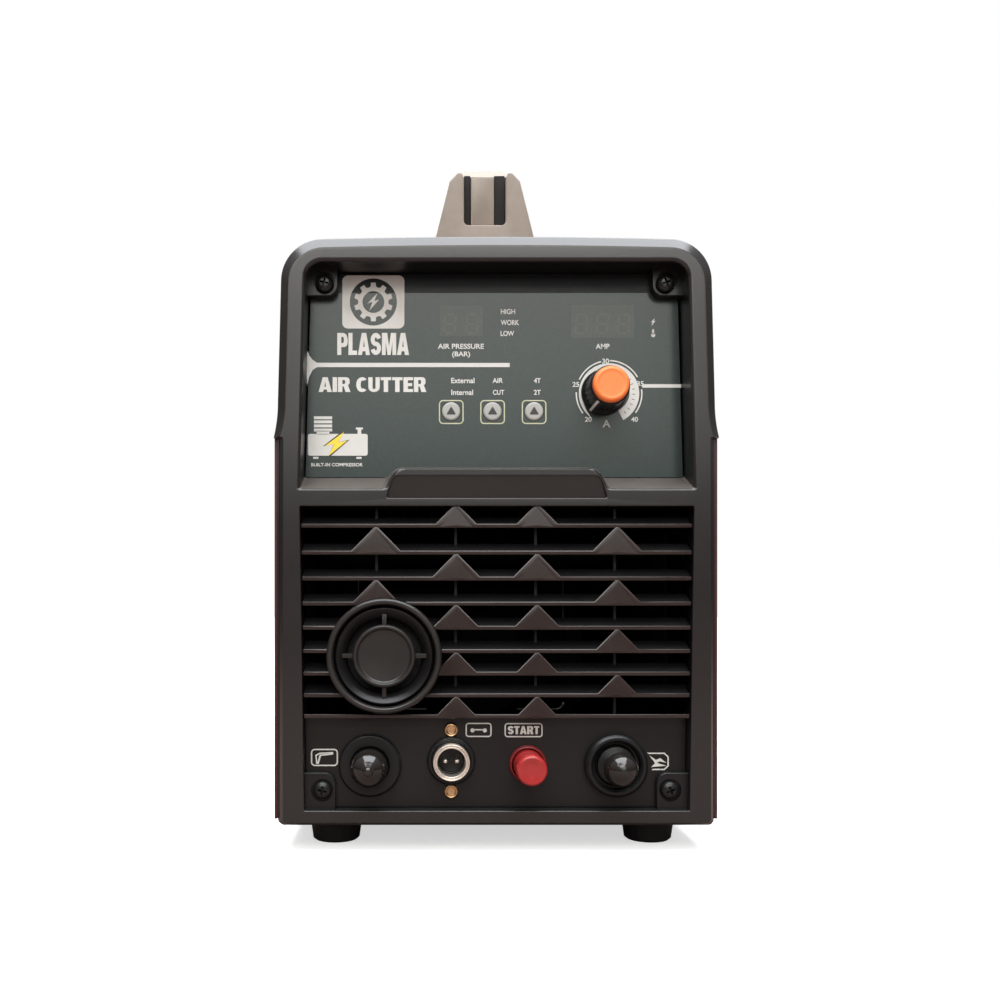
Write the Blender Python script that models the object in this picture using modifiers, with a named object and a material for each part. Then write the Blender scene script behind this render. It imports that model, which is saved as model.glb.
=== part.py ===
"""An air plasma cutter with a built-in compressor, as an assembly of separate named parts.

Metres, +Z up. The front faces -Y, the unit stands on its feet at Z = 0, and the origin is under the
middle of its bounding box. "Depth" below is the distance behind the front face of the front bezel.
"""

from math import cos, pi, radians, sin

import bmesh
import bpy
from mathutils import Matrix, Vector

# ---------------------------------------------------------------- driving dimensions
CASE_LENGTH = 0.425  # front face of the front bezel to the rear face of the rear bezel
FRONT_REACH = 0.014  # how far the work dust plug stands in front of the front bezel
REAR_REACH = 0.022  # how far the cable gland stands behind the rear bezel
FRONT = FRONT_REACH - (CASE_LENGTH + REAR_REACH + FRONT_REACH) / 2  # Y of the front face

FOOT_HEIGHT = 0.014
BEZEL_BOTTOM = FOOT_HEIGHT - 0.0012
BEZEL_TOP = 0.2785  # beside the crown
CROWN = 0.001  # rise of the top towards the middle
LIP_DEPTH = 0.006
SPIGOT_DEPTH = 0.020
WING_Z = 0.1885  # where the bezel's wings end and the cover's full width begins
WING_RUN = 0.016

GAP = 0.0003  # between parts that touch
SHEET = 0.0012  # thickness of the sheet-metal cover
PLATE = 0.0015  # thickness of the flat panels
PAN_TOP = FOOT_HEIGHT + 0.0022 + PLATE + GAP  # what stands on the base pan starts here

RECESS_TOP = 0.2674
SILL_FRONT = 0.1648
SILL_BACK = 0.1713
PANEL_DEPTH = 0.0180
FILM_DEPTH = 0.0171
FILM = 0.0005

GRILLE_TOP = 0.1568
FIRST_SLAT = 0.1493
FIRST_PITCH = 0.01215
PITCH_RATIO = 0.965
SLAT_COUNT = 9
SLAT_FACE = 0.0019
GRILLE_FRONT = 0.0012
GRILLE_BACK = 0.0095
INNER_COLUMN = 0.0183
OUTER_COLUMN = 0.0545

LOWER_BOTTOM = 0.0199
CONNECTOR_DEPTH = 0.0080
CONNECTOR_TOP = 0.0609

INTAKE = (-0.0507, 0.0897)
INTAKE_RADIUS = 0.0258
KNOB = (0.0512, 0.2117)
KEYS = {"air_source": -0.0201, "mode": -0.0008, "trigger": 0.0186}
KEY_Z = 0.2029
KEY_RADIUS = 0.0043
DISPLAYS = {"pressure": (-0.0166, 0.0096), "current": (0.0493, 0.0154)}
DISPLAY_Z = 0.2453
DISPLAY_HALF_HEIGHT = 0.0080
TORCH = (-0.0575, 0.0393)
SWITCH_SOCKET = (-0.0204, 0.0413)
START = (0.0146, 0.0398)
WORK = (0.0546, 0.0395)
SOCKET_SCREW_OFFSET = 0.0141
UPPER_SCREW = (0.0788, 0.2610)
LOWER_SCREW = (0.0790, 0.0284)

FEET_X = 0.0750
FEET_DEPTHS = (0.033, 0.392)
POST_DEPTH = 0.085
POST_THICKNESS = 0.012
POST_TOP = 0.3438
SLOT_BOTTOM = 0.3156
GRIP_TOP = 0.3497
GRIP_ARCH = 0.0104  # rise of the grip's underside towards the middle

REAR_PANEL_DEPTH = CASE_LENGTH - 0.0100
FAN = (0.0, 0.1850)
FAN_SIDE = 0.1190
FAN_THICKNESS = 0.0250
FAN_DEPTH = REAR_PANEL_DEPTH - GAP - FAN_THICKNESS
BOARD_Z = 0.1380  # underside of the main circuit board
POWER_SWITCH = (0.0500, 0.0700)
ROCKER_TILT = 10.0  # degrees, either way
GLAND = (-0.0500, 0.0560)
AIR_INLET = (-0.0020, 0.0560)

TURNS = 28  # steps of a turned part that shows
FEW_TURNS = 16  # steps of a small or hidden one


# ---------------------------------------------------------------- scene and materials
def clear_scene():
    for obj in list(bpy.data.objects):
        bpy.data.objects.remove(obj, do_unlink=True)


def collection(name, hidden=False):
    made = bpy.data.collections.new(name)
    made.hide_render = hidden
    bpy.context.scene.collection.children.link(made)
    return made


def material(name, colour, roughness, metallic=0.0):
    made = bpy.data.materials.new(name)
    made.use_nodes = True
    made.diffuse_color = (*colour, 1)
    shader = made.node_tree.nodes["Principled BSDF"]
    shader.inputs["Base Color"].default_value = (*colour, 1)
    shader.inputs["Roughness"].default_value = roughness
    shader.inputs["Metallic"].default_value = metallic
    return made


clear_scene()
PARTS = collection("plasma_cutter")
CUTTERS = collection("cutters", hidden=True)

BLACK_PLASTIC = material("black_plastic", (0.035, 0.034, 0.032), 0.45)
HANDLE_PLASTIC = material("handle_plastic", (0.26, 0.22, 0.18), 0.60)
GLOSS_PLASTIC = material("gloss_plastic", (0.02, 0.02, 0.02), 0.10)
RED_PAINT = material("red_paint", (0.20, 0.012, 0.012), 0.40)
BLACK_STEEL = material("black_steel", (0.03, 0.03, 0.03), 0.50)
BARE_STEEL = material("bare_steel", (0.55, 0.55, 0.56), 0.35, 1.0)
OVERLAY = material("overlay", (0.085, 0.10, 0.095), 0.50)
ORANGE = material("orange_plastic", (0.90, 0.20, 0.05), 0.40)
RED_PLASTIC = material("red_plastic", (0.55, 0.03, 0.03), 0.25)
WHITE_PLASTIC = material("white_plastic", (0.80, 0.78, 0.74), 0.45)
RUBBER = material("rubber", (0.015, 0.015, 0.015), 0.80)
CHROME = material("chrome", (0.80, 0.78, 0.74), 0.15, 1.0)
BRASS = material("brass", (0.70, 0.45, 0.20), 0.30, 1.0)
ALUMINIUM = material("aluminium", (0.70, 0.70, 0.72), 0.40, 1.0)
BOARD = material("circuit_board", (0.02, 0.12, 0.05), 0.50)
DISPLAY = material("display", (0.06, 0.07, 0.06), 0.20)
FOAM = material("foam", (0.05, 0.05, 0.05), 0.95)
COPPER = material("winding", (0.60, 0.28, 0.14), 0.40, 0.8)


# ---------------------------------------------------------------- modelling tools
def y_at(depth):
    return FRONT + depth


def add(name, mesh, finish, where=None):
    obj = bpy.data.objects.new(name, mesh)
    (where or PARTS).objects.link(obj)
    mesh.materials.clear()
    mesh.materials.append(finish)
    return obj


def as_helper(obj):
    """Leaves a cutter, or a piece that is joined to another, out of the parts."""
    PARTS.objects.unlink(obj)
    CUTTERS.objects.link(obj)
    obj.hide_render = True
    obj.display_type = "WIRE"
    return obj


def box(name, x, depth, z, finish):
    """A block between two x, two depths and two z."""
    mesh = bpy.data.meshes.new(name)
    bm = bmesh.new()
    bmesh.ops.create_cube(bm, size=1)
    size = Vector((x[1] - x[0], depth[1] - depth[0], z[1] - z[0]))
    middle = Vector((x[0] + x[1], y_at(depth[0]) + y_at(depth[1]), z[0] + z[1])) / 2
    bmesh.ops.scale(bm, vec=size, verts=bm.verts)
    bmesh.ops.translate(bm, vec=middle, verts=bm.verts)
    bm.to_mesh(mesh)
    bm.free()
    return add(name, mesh, finish)


SPINS = {
    "front": (radians(90), 0, 0),
    "rear": (radians(-90), 0, 0),
    "up": (0, 0, 0),
    "down": (radians(180), 0, 0),
    "right": (0, radians(90), 0),
}


def turned(name, profile, place, finish, facing="front", steps=TURNS):
    """A profile of (radius, height) points, listed from the tip down its outer side and back, spun about
    an axis through place = (x, depth, z). Height runs the way it faces."""
    mesh = bpy.data.meshes.new(name)
    points = [(r, 0, h) for r, h in profile]
    edges = [(i, i + 1) for i in range(len(points) - 1)]
    if profile[0][0] > 0:
        edges.append((len(points) - 1, 0))
    mesh.from_pydata(points, edges, [])
    obj = add(name, mesh, finish)
    obj.location = (place[0], y_at(place[1]), place[2])
    obj.rotation_euler = SPINS[facing]
    screw = obj.modifiers.new("turn", "SCREW")
    screw.steps = screw.render_steps = steps
    screw.use_merge_vertices = True
    screw.merge_threshold = 0.00002
    screw.use_smooth_shade = True
    return obj


def extruded(name, outlines, axis, low, high, finish):
    """A flat outline, with any holes after it, given thickness along an axis. Outlines are (x, z) along Y,
    (depth, z) along X, and (x, depth) along Z. low and high are depths along Y."""
    curve = bpy.data.curves.new(name, "CURVE")
    curve.dimensions = "2D"
    curve.fill_mode = "BOTH"
    curve.extrude = (high - low) / 2
    for outline in outlines:
        spline = curve.splines.new("POLY")
        spline.points.add(len(outline) - 1)
        for point, (u, v) in zip(spline.points, outline):
            point.co = (u, v, 0, 1)
        spline.use_cyclic_u = True
    drawn = bpy.data.objects.new(name + "_curve", curve)
    middle = (low + high) / 2
    drawn.matrix_world = {
        "X": Matrix.Translation(
            (middle, FRONT, 0)
        ) @ Matrix.Rotation(pi / 2, 4, "Z") @ Matrix.Rotation(pi / 2, 4, "X"),
        "Y": Matrix.Translation((0, y_at(middle), 0)) @ Matrix.Rotation(pi / 2, 4, "X"),
        "Z": Matrix.Translation((0, FRONT, middle)),
    }[axis]
    PARTS.objects.link(drawn)
    bpy.context.view_layer.update()
    mesh = bpy.data.meshes.new_from_object(drawn.evaluated_get(bpy.context.evaluated_depsgraph_get()))
    bm = bmesh.new()
    bm.from_mesh(mesh)
    bmesh.ops.remove_doubles(bm, verts=bm.verts, dist=0.000005)
    bm.to_mesh(mesh)
    bm.free()
    obj = add(name, mesh, finish)
    obj.matrix_world = drawn.matrix_world
    bpy.data.objects.remove(drawn)
    bpy.data.curves.remove(curve)
    return obj


def loft(name, rings, finish):
    """A solid between rings of equally many (x, y, z) points, closed at both ends."""
    mesh = bpy.data.meshes.new(name)
    bm = bmesh.new()
    loops = [[bm.verts.new(p) for p in ring] for ring in rings]
    count = len(rings[0])
    for near, far in zip(loops, loops[1:]):
        for i in range(count):
            j = (i + 1) % count
            bm.faces.new((near[i], near[j], far[j], far[i]))
    bm.faces.new(loops[0])
    bm.faces.new(loops[-1])
    bmesh.ops.recalc_face_normals(bm, faces=bm.faces)
    bm.to_mesh(mesh)
    bm.free()
    return add(name, mesh, finish)


def boolean(target, operation, others):
    for other in others:
        modifier = target.modifiers.new(other.name, "BOOLEAN")
        modifier.operation = operation
        modifier.solver = "EXACT"
        modifier.object = as_helper(other)
    return target


def cut(target, *cutters):
    return boolean(target, "DIFFERENCE", cutters)


def fuse(target, *others):
    return boolean(target, "UNION", others)


def fuse_many(target, others):
    """Joins many overlapping pieces to target in one Boolean."""
    group = bpy.data.collections.new(target.name + "_pieces")
    CUTTERS.children.link(group)
    for other in others:
        as_helper(other)
        CUTTERS.objects.unlink(other)
        group.objects.link(other)
    modifier = target.modifiers.new("pieces", "BOOLEAN")
    modifier.operation = "UNION"
    modifier.solver = "EXACT"
    modifier.operand_type = "COLLECTION"
    modifier.collection = group
    return target


def bevelled(obj, width, segments=1):
    modifier = obj.modifiers.new("edges", "BEVEL")
    modifier.width = width
    modifier.segments = segments
    modifier.limit_method = "ANGLE"
    modifier.angle_limit = radians(40)
    return obj


# ---------------------------------------------------------------- outlines
def arc(centre, radius, start, end, steps):
    """Points on an arc in degrees, both ends included."""
    angles = [radians(start + (end - start) * i / steps) for i in range(steps + 1)]
    return [(centre[0] + radius * cos(a), centre[1] + radius * sin(a)) for a in angles]


def circle(centre, radius, steps=24):
    return arc(centre, radius, 0, 360 - 360 / steps, steps - 1)


def rectangle(low, high):
    return [(low[0], low[1]), (high[0], low[1]), (high[0], high[1]), (low[0], high[1])]


def rounded_rectangle(low, high, radius, steps=3):
    (x0, z0), (x1, z1) = low, high
    corners = ((x1, z0, -90), (x1, z1, 0), (x0, z1, 90), (x0, z0, 180))
    points = []
    for x, z, start in corners:
        centre = (x - radius if x == x1 else x + radius, z + radius if z == z0 else z - radius)
        points += arc(centre, radius, start, start + 90, steps)
    return points


def mirrored(right):
    """A closed outline from its right half, listed from the bottom up."""
    return right + [(-x, z) for x, z in reversed(right) if x > 1e-6]


def case_outline(low, wing, waist, shoulder, bottom, top, corner):
    """The section of the case, seen from the front: half widths below the wing, at it, above it and under
    the top corners, then the bottom, the top beside the crown and the corner radius."""
    right = [(low - 0.002, bottom), (low - 0.0006, bottom + 0.0006), (low, bottom + 0.002)]
    right += [(low, WING_Z - 0.0006), (wing, WING_Z)]
    for step in range(1, 6):
        t = step / 5
        right.append((waist + (wing - waist) * (1 - t) ** 2, WING_Z + WING_RUN * t))
    right += arc((shoulder - corner, top - corner), corner, 0, 90, 8)
    flat = shoulder - corner
    for step in range(1, 4):
        x = flat * (1 - step / 3)
        right.append((x, top + CROWN * (1 - (x / flat) ** 2)))
    return mirrored(right)


def at_depth(outline, depth):
    return [(x, y_at(depth), z) for x, z in outline]


def opening_half(z):
    """Half width of the lower opening of the bezel, which narrows towards the bottom."""
    share = (z - LOWER_BOTTOM) / (GRILLE_TOP - LOWER_BOTTOM)
    return 0.0868 + 0.0020 * share


def recess_outline(bottom, inset=0.0):
    """The control recess: it narrows towards the top, where its corners are round."""
    radius = 0.0075 - inset
    top_half, low_half = 0.0862 - inset, 0.0887 - inset
    right = [(low_half, bottom + inset)]
    right += arc((top_half - radius, RECESS_TOP - inset - radius), radius, 0, 90, 5)
    return mirrored(right)


LIP_EDGE = dict(low=0.0988, wing=0.1010, waist=0.0991, shoulder=0.0977, corner=0.0190)
LIP_BACK = dict(low=0.1003, wing=0.1013, waist=0.0991, shoulder=0.0977, corner=0.0190)
LIP_FACE = dict(low=0.0972, wing=0.0978, waist=0.0954, shoulder=0.0940, corner=0.0160)
SPIGOT = dict(low=0.0995, wing=0.0995, waist=0.0965, shoulder=0.0951, corner=0.0171)
COVER = dict(low=0.1010, wing=0.1010, waist=0.0980, shoulder=0.0966, corner=0.0186)
COVER_TOP = BEZEL_TOP - 0.0004


# ---------------------------------------------------------------- enclosure
def bezel_frame(name, front, back, towards_back):
    """The lip and the spigot of a bezel. Front and rear bezels are turned opposite ways."""
    face = case_outline(bottom=BEZEL_BOTTOM + 0.001, top=BEZEL_TOP - 0.0055, **LIP_FACE)
    edge = case_outline(bottom=BEZEL_BOTTOM, top=BEZEL_TOP, **LIP_EDGE)
    widest = case_outline(bottom=BEZEL_BOTTOM, top=BEZEL_TOP, **LIP_BACK)
    inner = case_outline(bottom=FOOT_HEIGHT + 0.0012, top=COVER_TOP - SHEET - GAP, **SPIGOT)
    lip_back = front + LIP_DEPTH * towards_back
    chamfer = front + 0.003 * towards_back
    lip = loft(
        name, [at_depth(face, front), at_depth(edge, chamfer), at_depth(widest, lip_back)], BLACK_PLASTIC
    )
    inside_lip = lip_back - 0.001 * towards_back
    spigot = loft(name + "_spigot", [at_depth(inner, inside_lip), at_depth(inner, back)], BLACK_PLASTIC)
    return fuse(lip, spigot)


def front_bezel():
    bezel = bezel_frame("front_bezel", 0, SPIGOT_DEPTH, 1)
    slope = (SILL_BACK - SILL_FRONT) / SPIGOT_DEPTH
    past = 0.001
    recess = loft(
        "control_recess",
        [
            at_depth(recess_outline(SILL_FRONT - slope * past), -past),
            at_depth(recess_outline(SILL_BACK + slope * past), SPIGOT_DEPTH + past),
        ],
        BLACK_PLASTIC,
    )
    low, high = opening_half(LOWER_BOTTOM), opening_half(GRILLE_TOP)
    opening = extruded(
        "lower_opening",
        [[(-low, LOWER_BOTTOM), (low, LOWER_BOTTOM), (high, GRILLE_TOP + GAP), (-high, GRILLE_TOP + GAP)]],
        "Y",
        -past,
        SPIGOT_DEPTH + past,
        BLACK_PLASTIC,
    )
    cut(bezel, recess, opening)
    visor = loft(
        "visor",
        [
            at_depth([(-0.0503, 0.1606), (0.0503, 0.1606), (0.0462, 0.1729), (-0.0462, 0.1729)], -0.0012),
            at_depth([(-0.0503, 0.1606), (0.0503, 0.1606), (0.0462, 0.1745), (-0.0462, 0.1745)], 0.0150),
        ],
        BLACK_PLASTIC,
    )
    fuse(bezel, visor)
    for side in (-1, 1):
        fuse(bezel, screw_pad("upper", side), screw_pad("lower", side))
    for side in (-1, 1):
        cut(bezel, screw_bore("upper", side), screw_bore("lower", side))
    return bezel


def screw_pad(row, side):
    """A pad in a corner of a recess, which the bezel's screw clamps. Its free corner is round."""
    if row == "upper":
        inner, outer, low, high = 0.0727, 0.0885, 0.2534, RECESS_TOP + 0.002
        depths = (0.0115, FILM_DEPTH - GAP)
        free = arc((inner + 0.005, low + 0.005), 0.005, 180, 270, 4)
        outline = [(inner, high), *free, (outer, low), (outer, high)]
    else:
        inner, outer, low, high = 0.0730, 0.0900, LOWER_BOTTOM - 0.002, 0.0362
        depths = (0.0042, CONNECTOR_DEPTH - GAP)
        free = arc((inner + 0.005, high - 0.005), 0.005, 180, 90, 4)
        outline = [(inner, low), *free, (outer, high), (outer, low)]
    return extruded(f"{row}_pad_{side}", [[(side * x, z) for x, z in outline]], "Y", *depths, BLACK_PLASTIC)


def screw_place(row):
    return {"upper": (*UPPER_SCREW, 0.0115), "lower": (*LOWER_SCREW, 0.0042)}[row]


def screw_bore(row, side):
    """The counterbore for the screw's head and the hole for its shank."""
    x, z, depth = screw_place(row)
    profile = [
        (0, 0.004), (0.0051, 0.004), (0.0051, -0.0016), (0.0025, -0.0016), (0.0025, -0.0100), (0, -0.0100)
    ]
    return turned(f"{row}_bore_{side}", profile, (side * x, depth, z), BLACK_PLASTIC, steps=FEW_TURNS)


def bezel_screw(row, side):
    x, z, depth = screw_place(row)
    name = f"bezel_screw_{row}_{'left' if side < 0 else 'right'}"
    profile = [(0, 0.0020), (0.0022, 0.0018), (0.0036, 0.0010), (0.0043, -0.0004), (0.0043, -0.0013)]
    profile += [(0.0021, -0.0013), (0.0021, -0.0120), (0, -0.0120)]
    screw = turned(name, profile, (side * x, depth, z), BLACK_STEEL, steps=14)
    for turn, (half_x, half_z) in enumerate(((0.0024, 0.0005), (0.0005, 0.0024))):
        blade = box(
            f"{name}_slot_{turn}",
            (side * x - half_x, side * x + half_x),
            (depth - 0.0030, depth - 0.0003),
            (z - half_z, z + half_z),
            BLACK_STEEL,
        )
        cut(screw, blade)
    return screw


def slat_heights():
    """The top front edge of each slat; the pitch shrinks by a constant ratio towards the bottom."""
    heights = [FIRST_SLAT]
    for row in range(SLAT_COUNT - 1):
        heights.append(heights[-1] - FIRST_PITCH * PITCH_RATIO**row)
    return heights


def front_grille():
    """Louvre slats with triangles in alternate columns, tied by two rails and four thin ribs."""
    pieces = []
    heights = slat_heights()
    for row, z in enumerate(heights):
        low = z - SLAT_FACE
        rise = 0.0042 if row < SLAT_COUNT - 1 else 0.0
        profile = [
            (GRILLE_FRONT, z),
            (GRILLE_FRONT, low),
            (GRILLE_FRONT + 0.0012, low),
            (GRILLE_BACK, low + rise),
            (GRILLE_BACK, z + rise),
            (GRILLE_FRONT + 0.0012, z),
        ]
        half = opening_half(low) - GAP
        pieces.append(extruded(f"slat_{row}", [profile], "X", -half, half, BLACK_PLASTIC))
        above = heights[row - 1] - SLAT_FACE if row else GRILLE_TOP
        size = above - z + 0.0003
        columns = (-INNER_COLUMN, INNER_COLUMN) if row % 2 == 0 else (-OUTER_COLUMN, OUTER_COLUMN)
        for x in columns:
            if x < -OUTER_COLUMN / 2 and row > 4:
                continue  # the air intake takes this place
            base = z - 0.0010
            outline = [
                (x - size - 0.0010, base), (x + size + 0.0010, base), (x + 0.0004, z + size),
                (x - 0.0004, z + size),
            ]
            name = f"triangle_{row}_{'left' if x < 0 else 'right'}"
            pieces.append(
                extruded(name, [outline], "Y", GRILLE_FRONT - 0.0001, GRILLE_FRONT + 0.0020, BLACK_PLASTIC)
            )
    bottom, top = heights[-1] - SLAT_FACE + 0.0002, GRILLE_TOP - 0.0004
    for x in (-OUTER_COLUMN, -INNER_COLUMN, INNER_COLUMN, OUTER_COLUMN):
        pieces.append(
            box(f"rib_{x:.3f}", (x - 0.0006, x + 0.0006), (0.0042, 0.0092), (bottom, top), BLACK_PLASTIC)
        )
    for side in (-1, 1):
        outer_low, outer_high = opening_half(bottom) - 2 * GAP, opening_half(top) - 2 * GAP
        outline = [
            (outer_low, bottom), (outer_high, top), (outer_high - 0.002, top), (outer_low - 0.002, bottom)
        ]
        outline = [(side * x, z) for x, z in outline]
        pieces.append(extruded(f"rail_{side}", [outline], "Y", 0.0055, 0.0140, BLACK_PLASTIC))
    grille = pieces.pop()
    grille.name = "front_grille"
    fuse_many(grille, pieces)
    reach = INTAKE_RADIUS + GAP
    hole = turned(
        "intake_hole", [(0, 0.01), (reach, 0.01), (reach, -0.02), (0, -0.02)], (INTAKE[0], 0, INTAKE[1]),
        FOAM,
    )
    return cut(grille, hole)


def case_cover():
    """One sheet folded round the top and both sides, with a group of louvre slots in each side."""
    outer = case_outline(bottom=FOOT_HEIGHT + 0.0010, top=COVER_TOP, **COVER)
    thinner = {key: value - SHEET for key, value in COVER.items()}
    inner = case_outline(bottom=FOOT_HEIGHT + 0.0010, top=COVER_TOP - SHEET, **thinner)
    outer_right, inner_right = outer[2 : len(outer) // 2 + 1], inner[2 : len(inner) // 2 + 1]
    low = FOOT_HEIGHT + 0.0010
    half = [(outer_right[0][0], low), *outer_right[1:]]
    inside = [(inner_right[0][0], low), *inner_right[1:]]
    outline = half + [(-x, z) for x, z in reversed(half[:-1])]
    outline += inside_turn(inside)
    front, back = LIP_DEPTH + GAP, CASE_LENGTH - LIP_DEPTH - GAP
    cover = extruded("case_cover", [outline], "Y", front, back, RED_PAINT)
    slots = []
    for group in (0.095, 0.275):
        for row in range(7):
            z = 0.060 + 0.014 * row
            slot = [(group, z), (group + 0.062, z), (group + 0.062, z + 0.0045), (group, z + 0.0045)]
            slots.append(extruded(f"vent_{group}_{row}", [slot], "X", -0.12, 0.12, RED_PAINT))
    group = bpy.data.collections.new("vents")
    CUTTERS.children.link(group)
    for slot in slots:
        as_helper(slot)
        CUTTERS.objects.unlink(slot)
        group.objects.link(slot)
    modifier = cover.modifiers.new("vents", "BOOLEAN")
    modifier.operation = "DIFFERENCE"
    modifier.operand_type = "COLLECTION"
    modifier.collection = group
    return cover


def inside_turn(inside):
    """The inner side of a folded sheet, listed back from its left foot over the top to its right foot."""
    left = [(-x, z) for x, z in inside]
    return left + [(x, z) for x, z in reversed(inside[:-1])]


def base_pan():
    """The chassis floor, with a flange up each side inside the cover."""
    half, floor, rim = COVER["low"] - SHEET - GAP, FOOT_HEIGHT + 0.0022, 0.0300
    outline = [
        (-half, floor), (half, floor), (half, rim), (half - PLATE, rim), (half - PLATE, floor + PLATE)
    ]
    outline += [(-half + PLATE, floor + PLATE), (-half + PLATE, rim), (-half, rim)]
    pan = extruded(
        "base_pan", [outline], "Y", SPIGOT_DEPTH + GAP, CASE_LENGTH - SPIGOT_DEPTH - GAP, BARE_STEEL
    )
    for side in (-1, 1):
        upright = [side * (half - PLATE), side * half]
        ledge = [side * 0.0820, side * (half - 0.0002)]
        fuse(
            pan,
            box(f"upright_{side}", sorted(upright), (0.1720, 0.2600), (0.0250, BOARD_Z - GAP), BARE_STEEL),
            box(
                f"ledge_{side}", sorted(ledge), (0.1720, 0.2600), (BOARD_Z - GAP - PLATE, BOARD_Z - GAP),
                BARE_STEEL,
            ),
        )
    return pan


def connector_panel():
    low, high = opening_half(LOWER_BOTTOM) - GAP, opening_half(CONNECTOR_TOP) - GAP
    bottom = LOWER_BOTTOM + GAP
    holes = [
        circle(TORCH, 0.0098), circle(WORK, 0.0098), circle(SWITCH_SOCKET, 0.0083), circle(START, 0.0078)
    ]
    for side in (-1, 1):
        holes.append(circle((side * LOWER_SCREW[0], LOWER_SCREW[1]), 0.0026, 12))
        holes.append(circle((SWITCH_SOCKET[0], SWITCH_SOCKET[1] + side * SOCKET_SCREW_OFFSET), 0.0018, 12))
    outline = [(-low, bottom), (low, bottom), (high, CONNECTOR_TOP), (-high, CONNECTOR_TOP)]
    return extruded(
        "connector_panel", [outline, *holes], "Y", CONNECTOR_DEPTH, CONNECTOR_DEPTH + PLATE, BLACK_STEEL
    )


def panel_outline():
    return recess_outline(SILL_BACK + 0.0002, inset=2 * GAP)


def screw_holes():
    return [circle((side * UPPER_SCREW[0], UPPER_SCREW[1]), 0.0026, 12) for side in (-1, 1)]


def control_plate():
    """The plate that carries the displays, the keys and the potentiometer."""
    holes = screw_holes() + [circle(KNOB, 0.0045, 16)]
    holes += [circle((x, KEY_Z), 0.0030, 16) for x in KEYS.values()]
    for x, half in DISPLAYS.values():
        low, high = DISPLAY_Z - DISPLAY_HALF_HEIGHT, DISPLAY_Z + DISPLAY_HALF_HEIGHT
        holes.append(rectangle((x - half, low), (x + half, high)))
    return extruded(
        "control_plate", [panel_outline(), *holes], "Y", PANEL_DEPTH, PANEL_DEPTH + PLATE, BLACK_STEEL
    )


def overlay_film():
    """The printed film over the control plate, with holes for the keys and the knob's shaft."""
    holes = screw_holes() + [circle(KNOB, 0.0045, 16)]
    holes += [circle((x, KEY_Z), KEY_RADIUS + GAP, 20) for x in KEYS.values()]
    return extruded("overlay_film", [panel_outline(), *holes], "Y", FILM_DEPTH, FILM_DEPTH + FILM, OVERLAY)


def rear_bezel():
    bezel = bezel_frame("rear_bezel", CASE_LENGTH, CASE_LENGTH - SPIGOT_DEPTH, -1)
    opening = extruded(
        "rear_opening",
        [rounded_rectangle((-0.0885, 0.0205), (0.0885, 0.2655), 0.006)],
        "Y",
        CASE_LENGTH - SPIGOT_DEPTH - 0.001,
        CASE_LENGTH + 0.001,
        BLACK_PLASTIC,
    )
    return cut(bezel, opening)


def rear_panel():
    outline = rounded_rectangle((-0.0882, 0.0208), (0.0882, 0.2652), 0.006)
    x, z = POWER_SWITCH
    holes = [circle(FAN, 0.0570, 40), circle(GLAND, 0.0103), circle(AIR_INLET, 0.0073)]
    holes.append(rectangle((x - 0.0143, z - 0.0113), (x + 0.0143, z + 0.0113)))
    return extruded(
        "rear_panel", [outline, *holes], "Y", REAR_PANEL_DEPTH, REAR_PANEL_DEPTH + PLATE, BLACK_STEEL
    )


def foot(row, side):
    depth = FEET_DEPTHS[row]
    name = f"foot_{('front', 'rear')[row]}_{'left' if side < 0 else 'right'}"
    top = FOOT_HEIGHT + 0.0022 - GAP
    profile = [(0, top), (0.0125, top), (0.0122, 0.0080), (0.0112, 0.0010), (0.0100, 0), (0.0045, 0)]
    profile += [(0.0045, 0.0040), (0, 0.0040)]
    return turned(name, profile, (side * FEET_X, depth, 0), RUBBER, facing="up", steps=20)


# ---------------------------------------------------------------- handle
def handle_post(name, depth):
    """A trapezoid post, slotted from the top for the end of the grip."""
    base = COVER_TOP + CROWN + GAP
    right = [(0.0338, base), (0.0188, POST_TOP - 0.0044), (0.0147, POST_TOP), (0.0118, POST_TOP - 0.0008)]
    right.append((0.0109, POST_TOP - 0.0033))
    slot = [(0.0111, SLOT_BOTTOM + 0.0036), (0.0104, SLOT_BOTTOM + 0.0011), (0.0082, SLOT_BOTTOM)]
    outline = right + slot + [(-x, z) for x, z in reversed(right + slot)]
    return bevelled(extruded(name, [outline], "Y", depth, depth + POST_THICKNESS, HANDLE_PLASTIC), 0.0006)


def grip_section(depth, half, low, high, round_by):
    """A rounded section of the grip at a depth, always of the same number of points."""
    outline = rounded_rectangle((-half, low), (half, high), round_by, steps=3)
    return at_depth(outline, depth)


def handle_grip():
    """The bar between the posts: a narrow end in each slot, and a wider arched body between them."""
    start, end = POST_DEPTH + 0.002, CASE_LENGTH - POST_DEPTH - 0.002
    behind = POST_THICKNESS + 0.0004
    low, tenon, shoulder = SLOT_BOTTOM + 0.0004, 0.0062, 0.0118
    nose, end_top = POST_TOP - 0.0026, GRIP_TOP - 0.0016
    steps = 12
    first = [
        grip_section(start, tenon, low, nose, 0.0012),
        grip_section(start + behind - 0.0002, tenon, low, end_top, 0.0012),
        grip_section(start + behind, shoulder, low, end_top, 0.0040),
    ]
    body = []
    for i in range(1, steps):
        t = i / steps
        lift = sin(pi * t) ** 0.5
        depth = start + behind + (end - start - 2 * behind) * t
        top = end_top + (GRIP_TOP - end_top) * lift
        body.append(grip_section(depth, shoulder + 0.0034 * lift, low + GRIP_ARCH * lift, top, 0.0055))
    last = [
        grip_section(end - behind, shoulder, low, end_top, 0.0040),
        grip_section(end - behind + 0.0002, tenon, low, end_top, 0.0012),
        grip_section(end, tenon, low, nose, 0.0012),
    ]
    return loft("handle_grip", first + body + last, HANDLE_PLASTIC)


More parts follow.
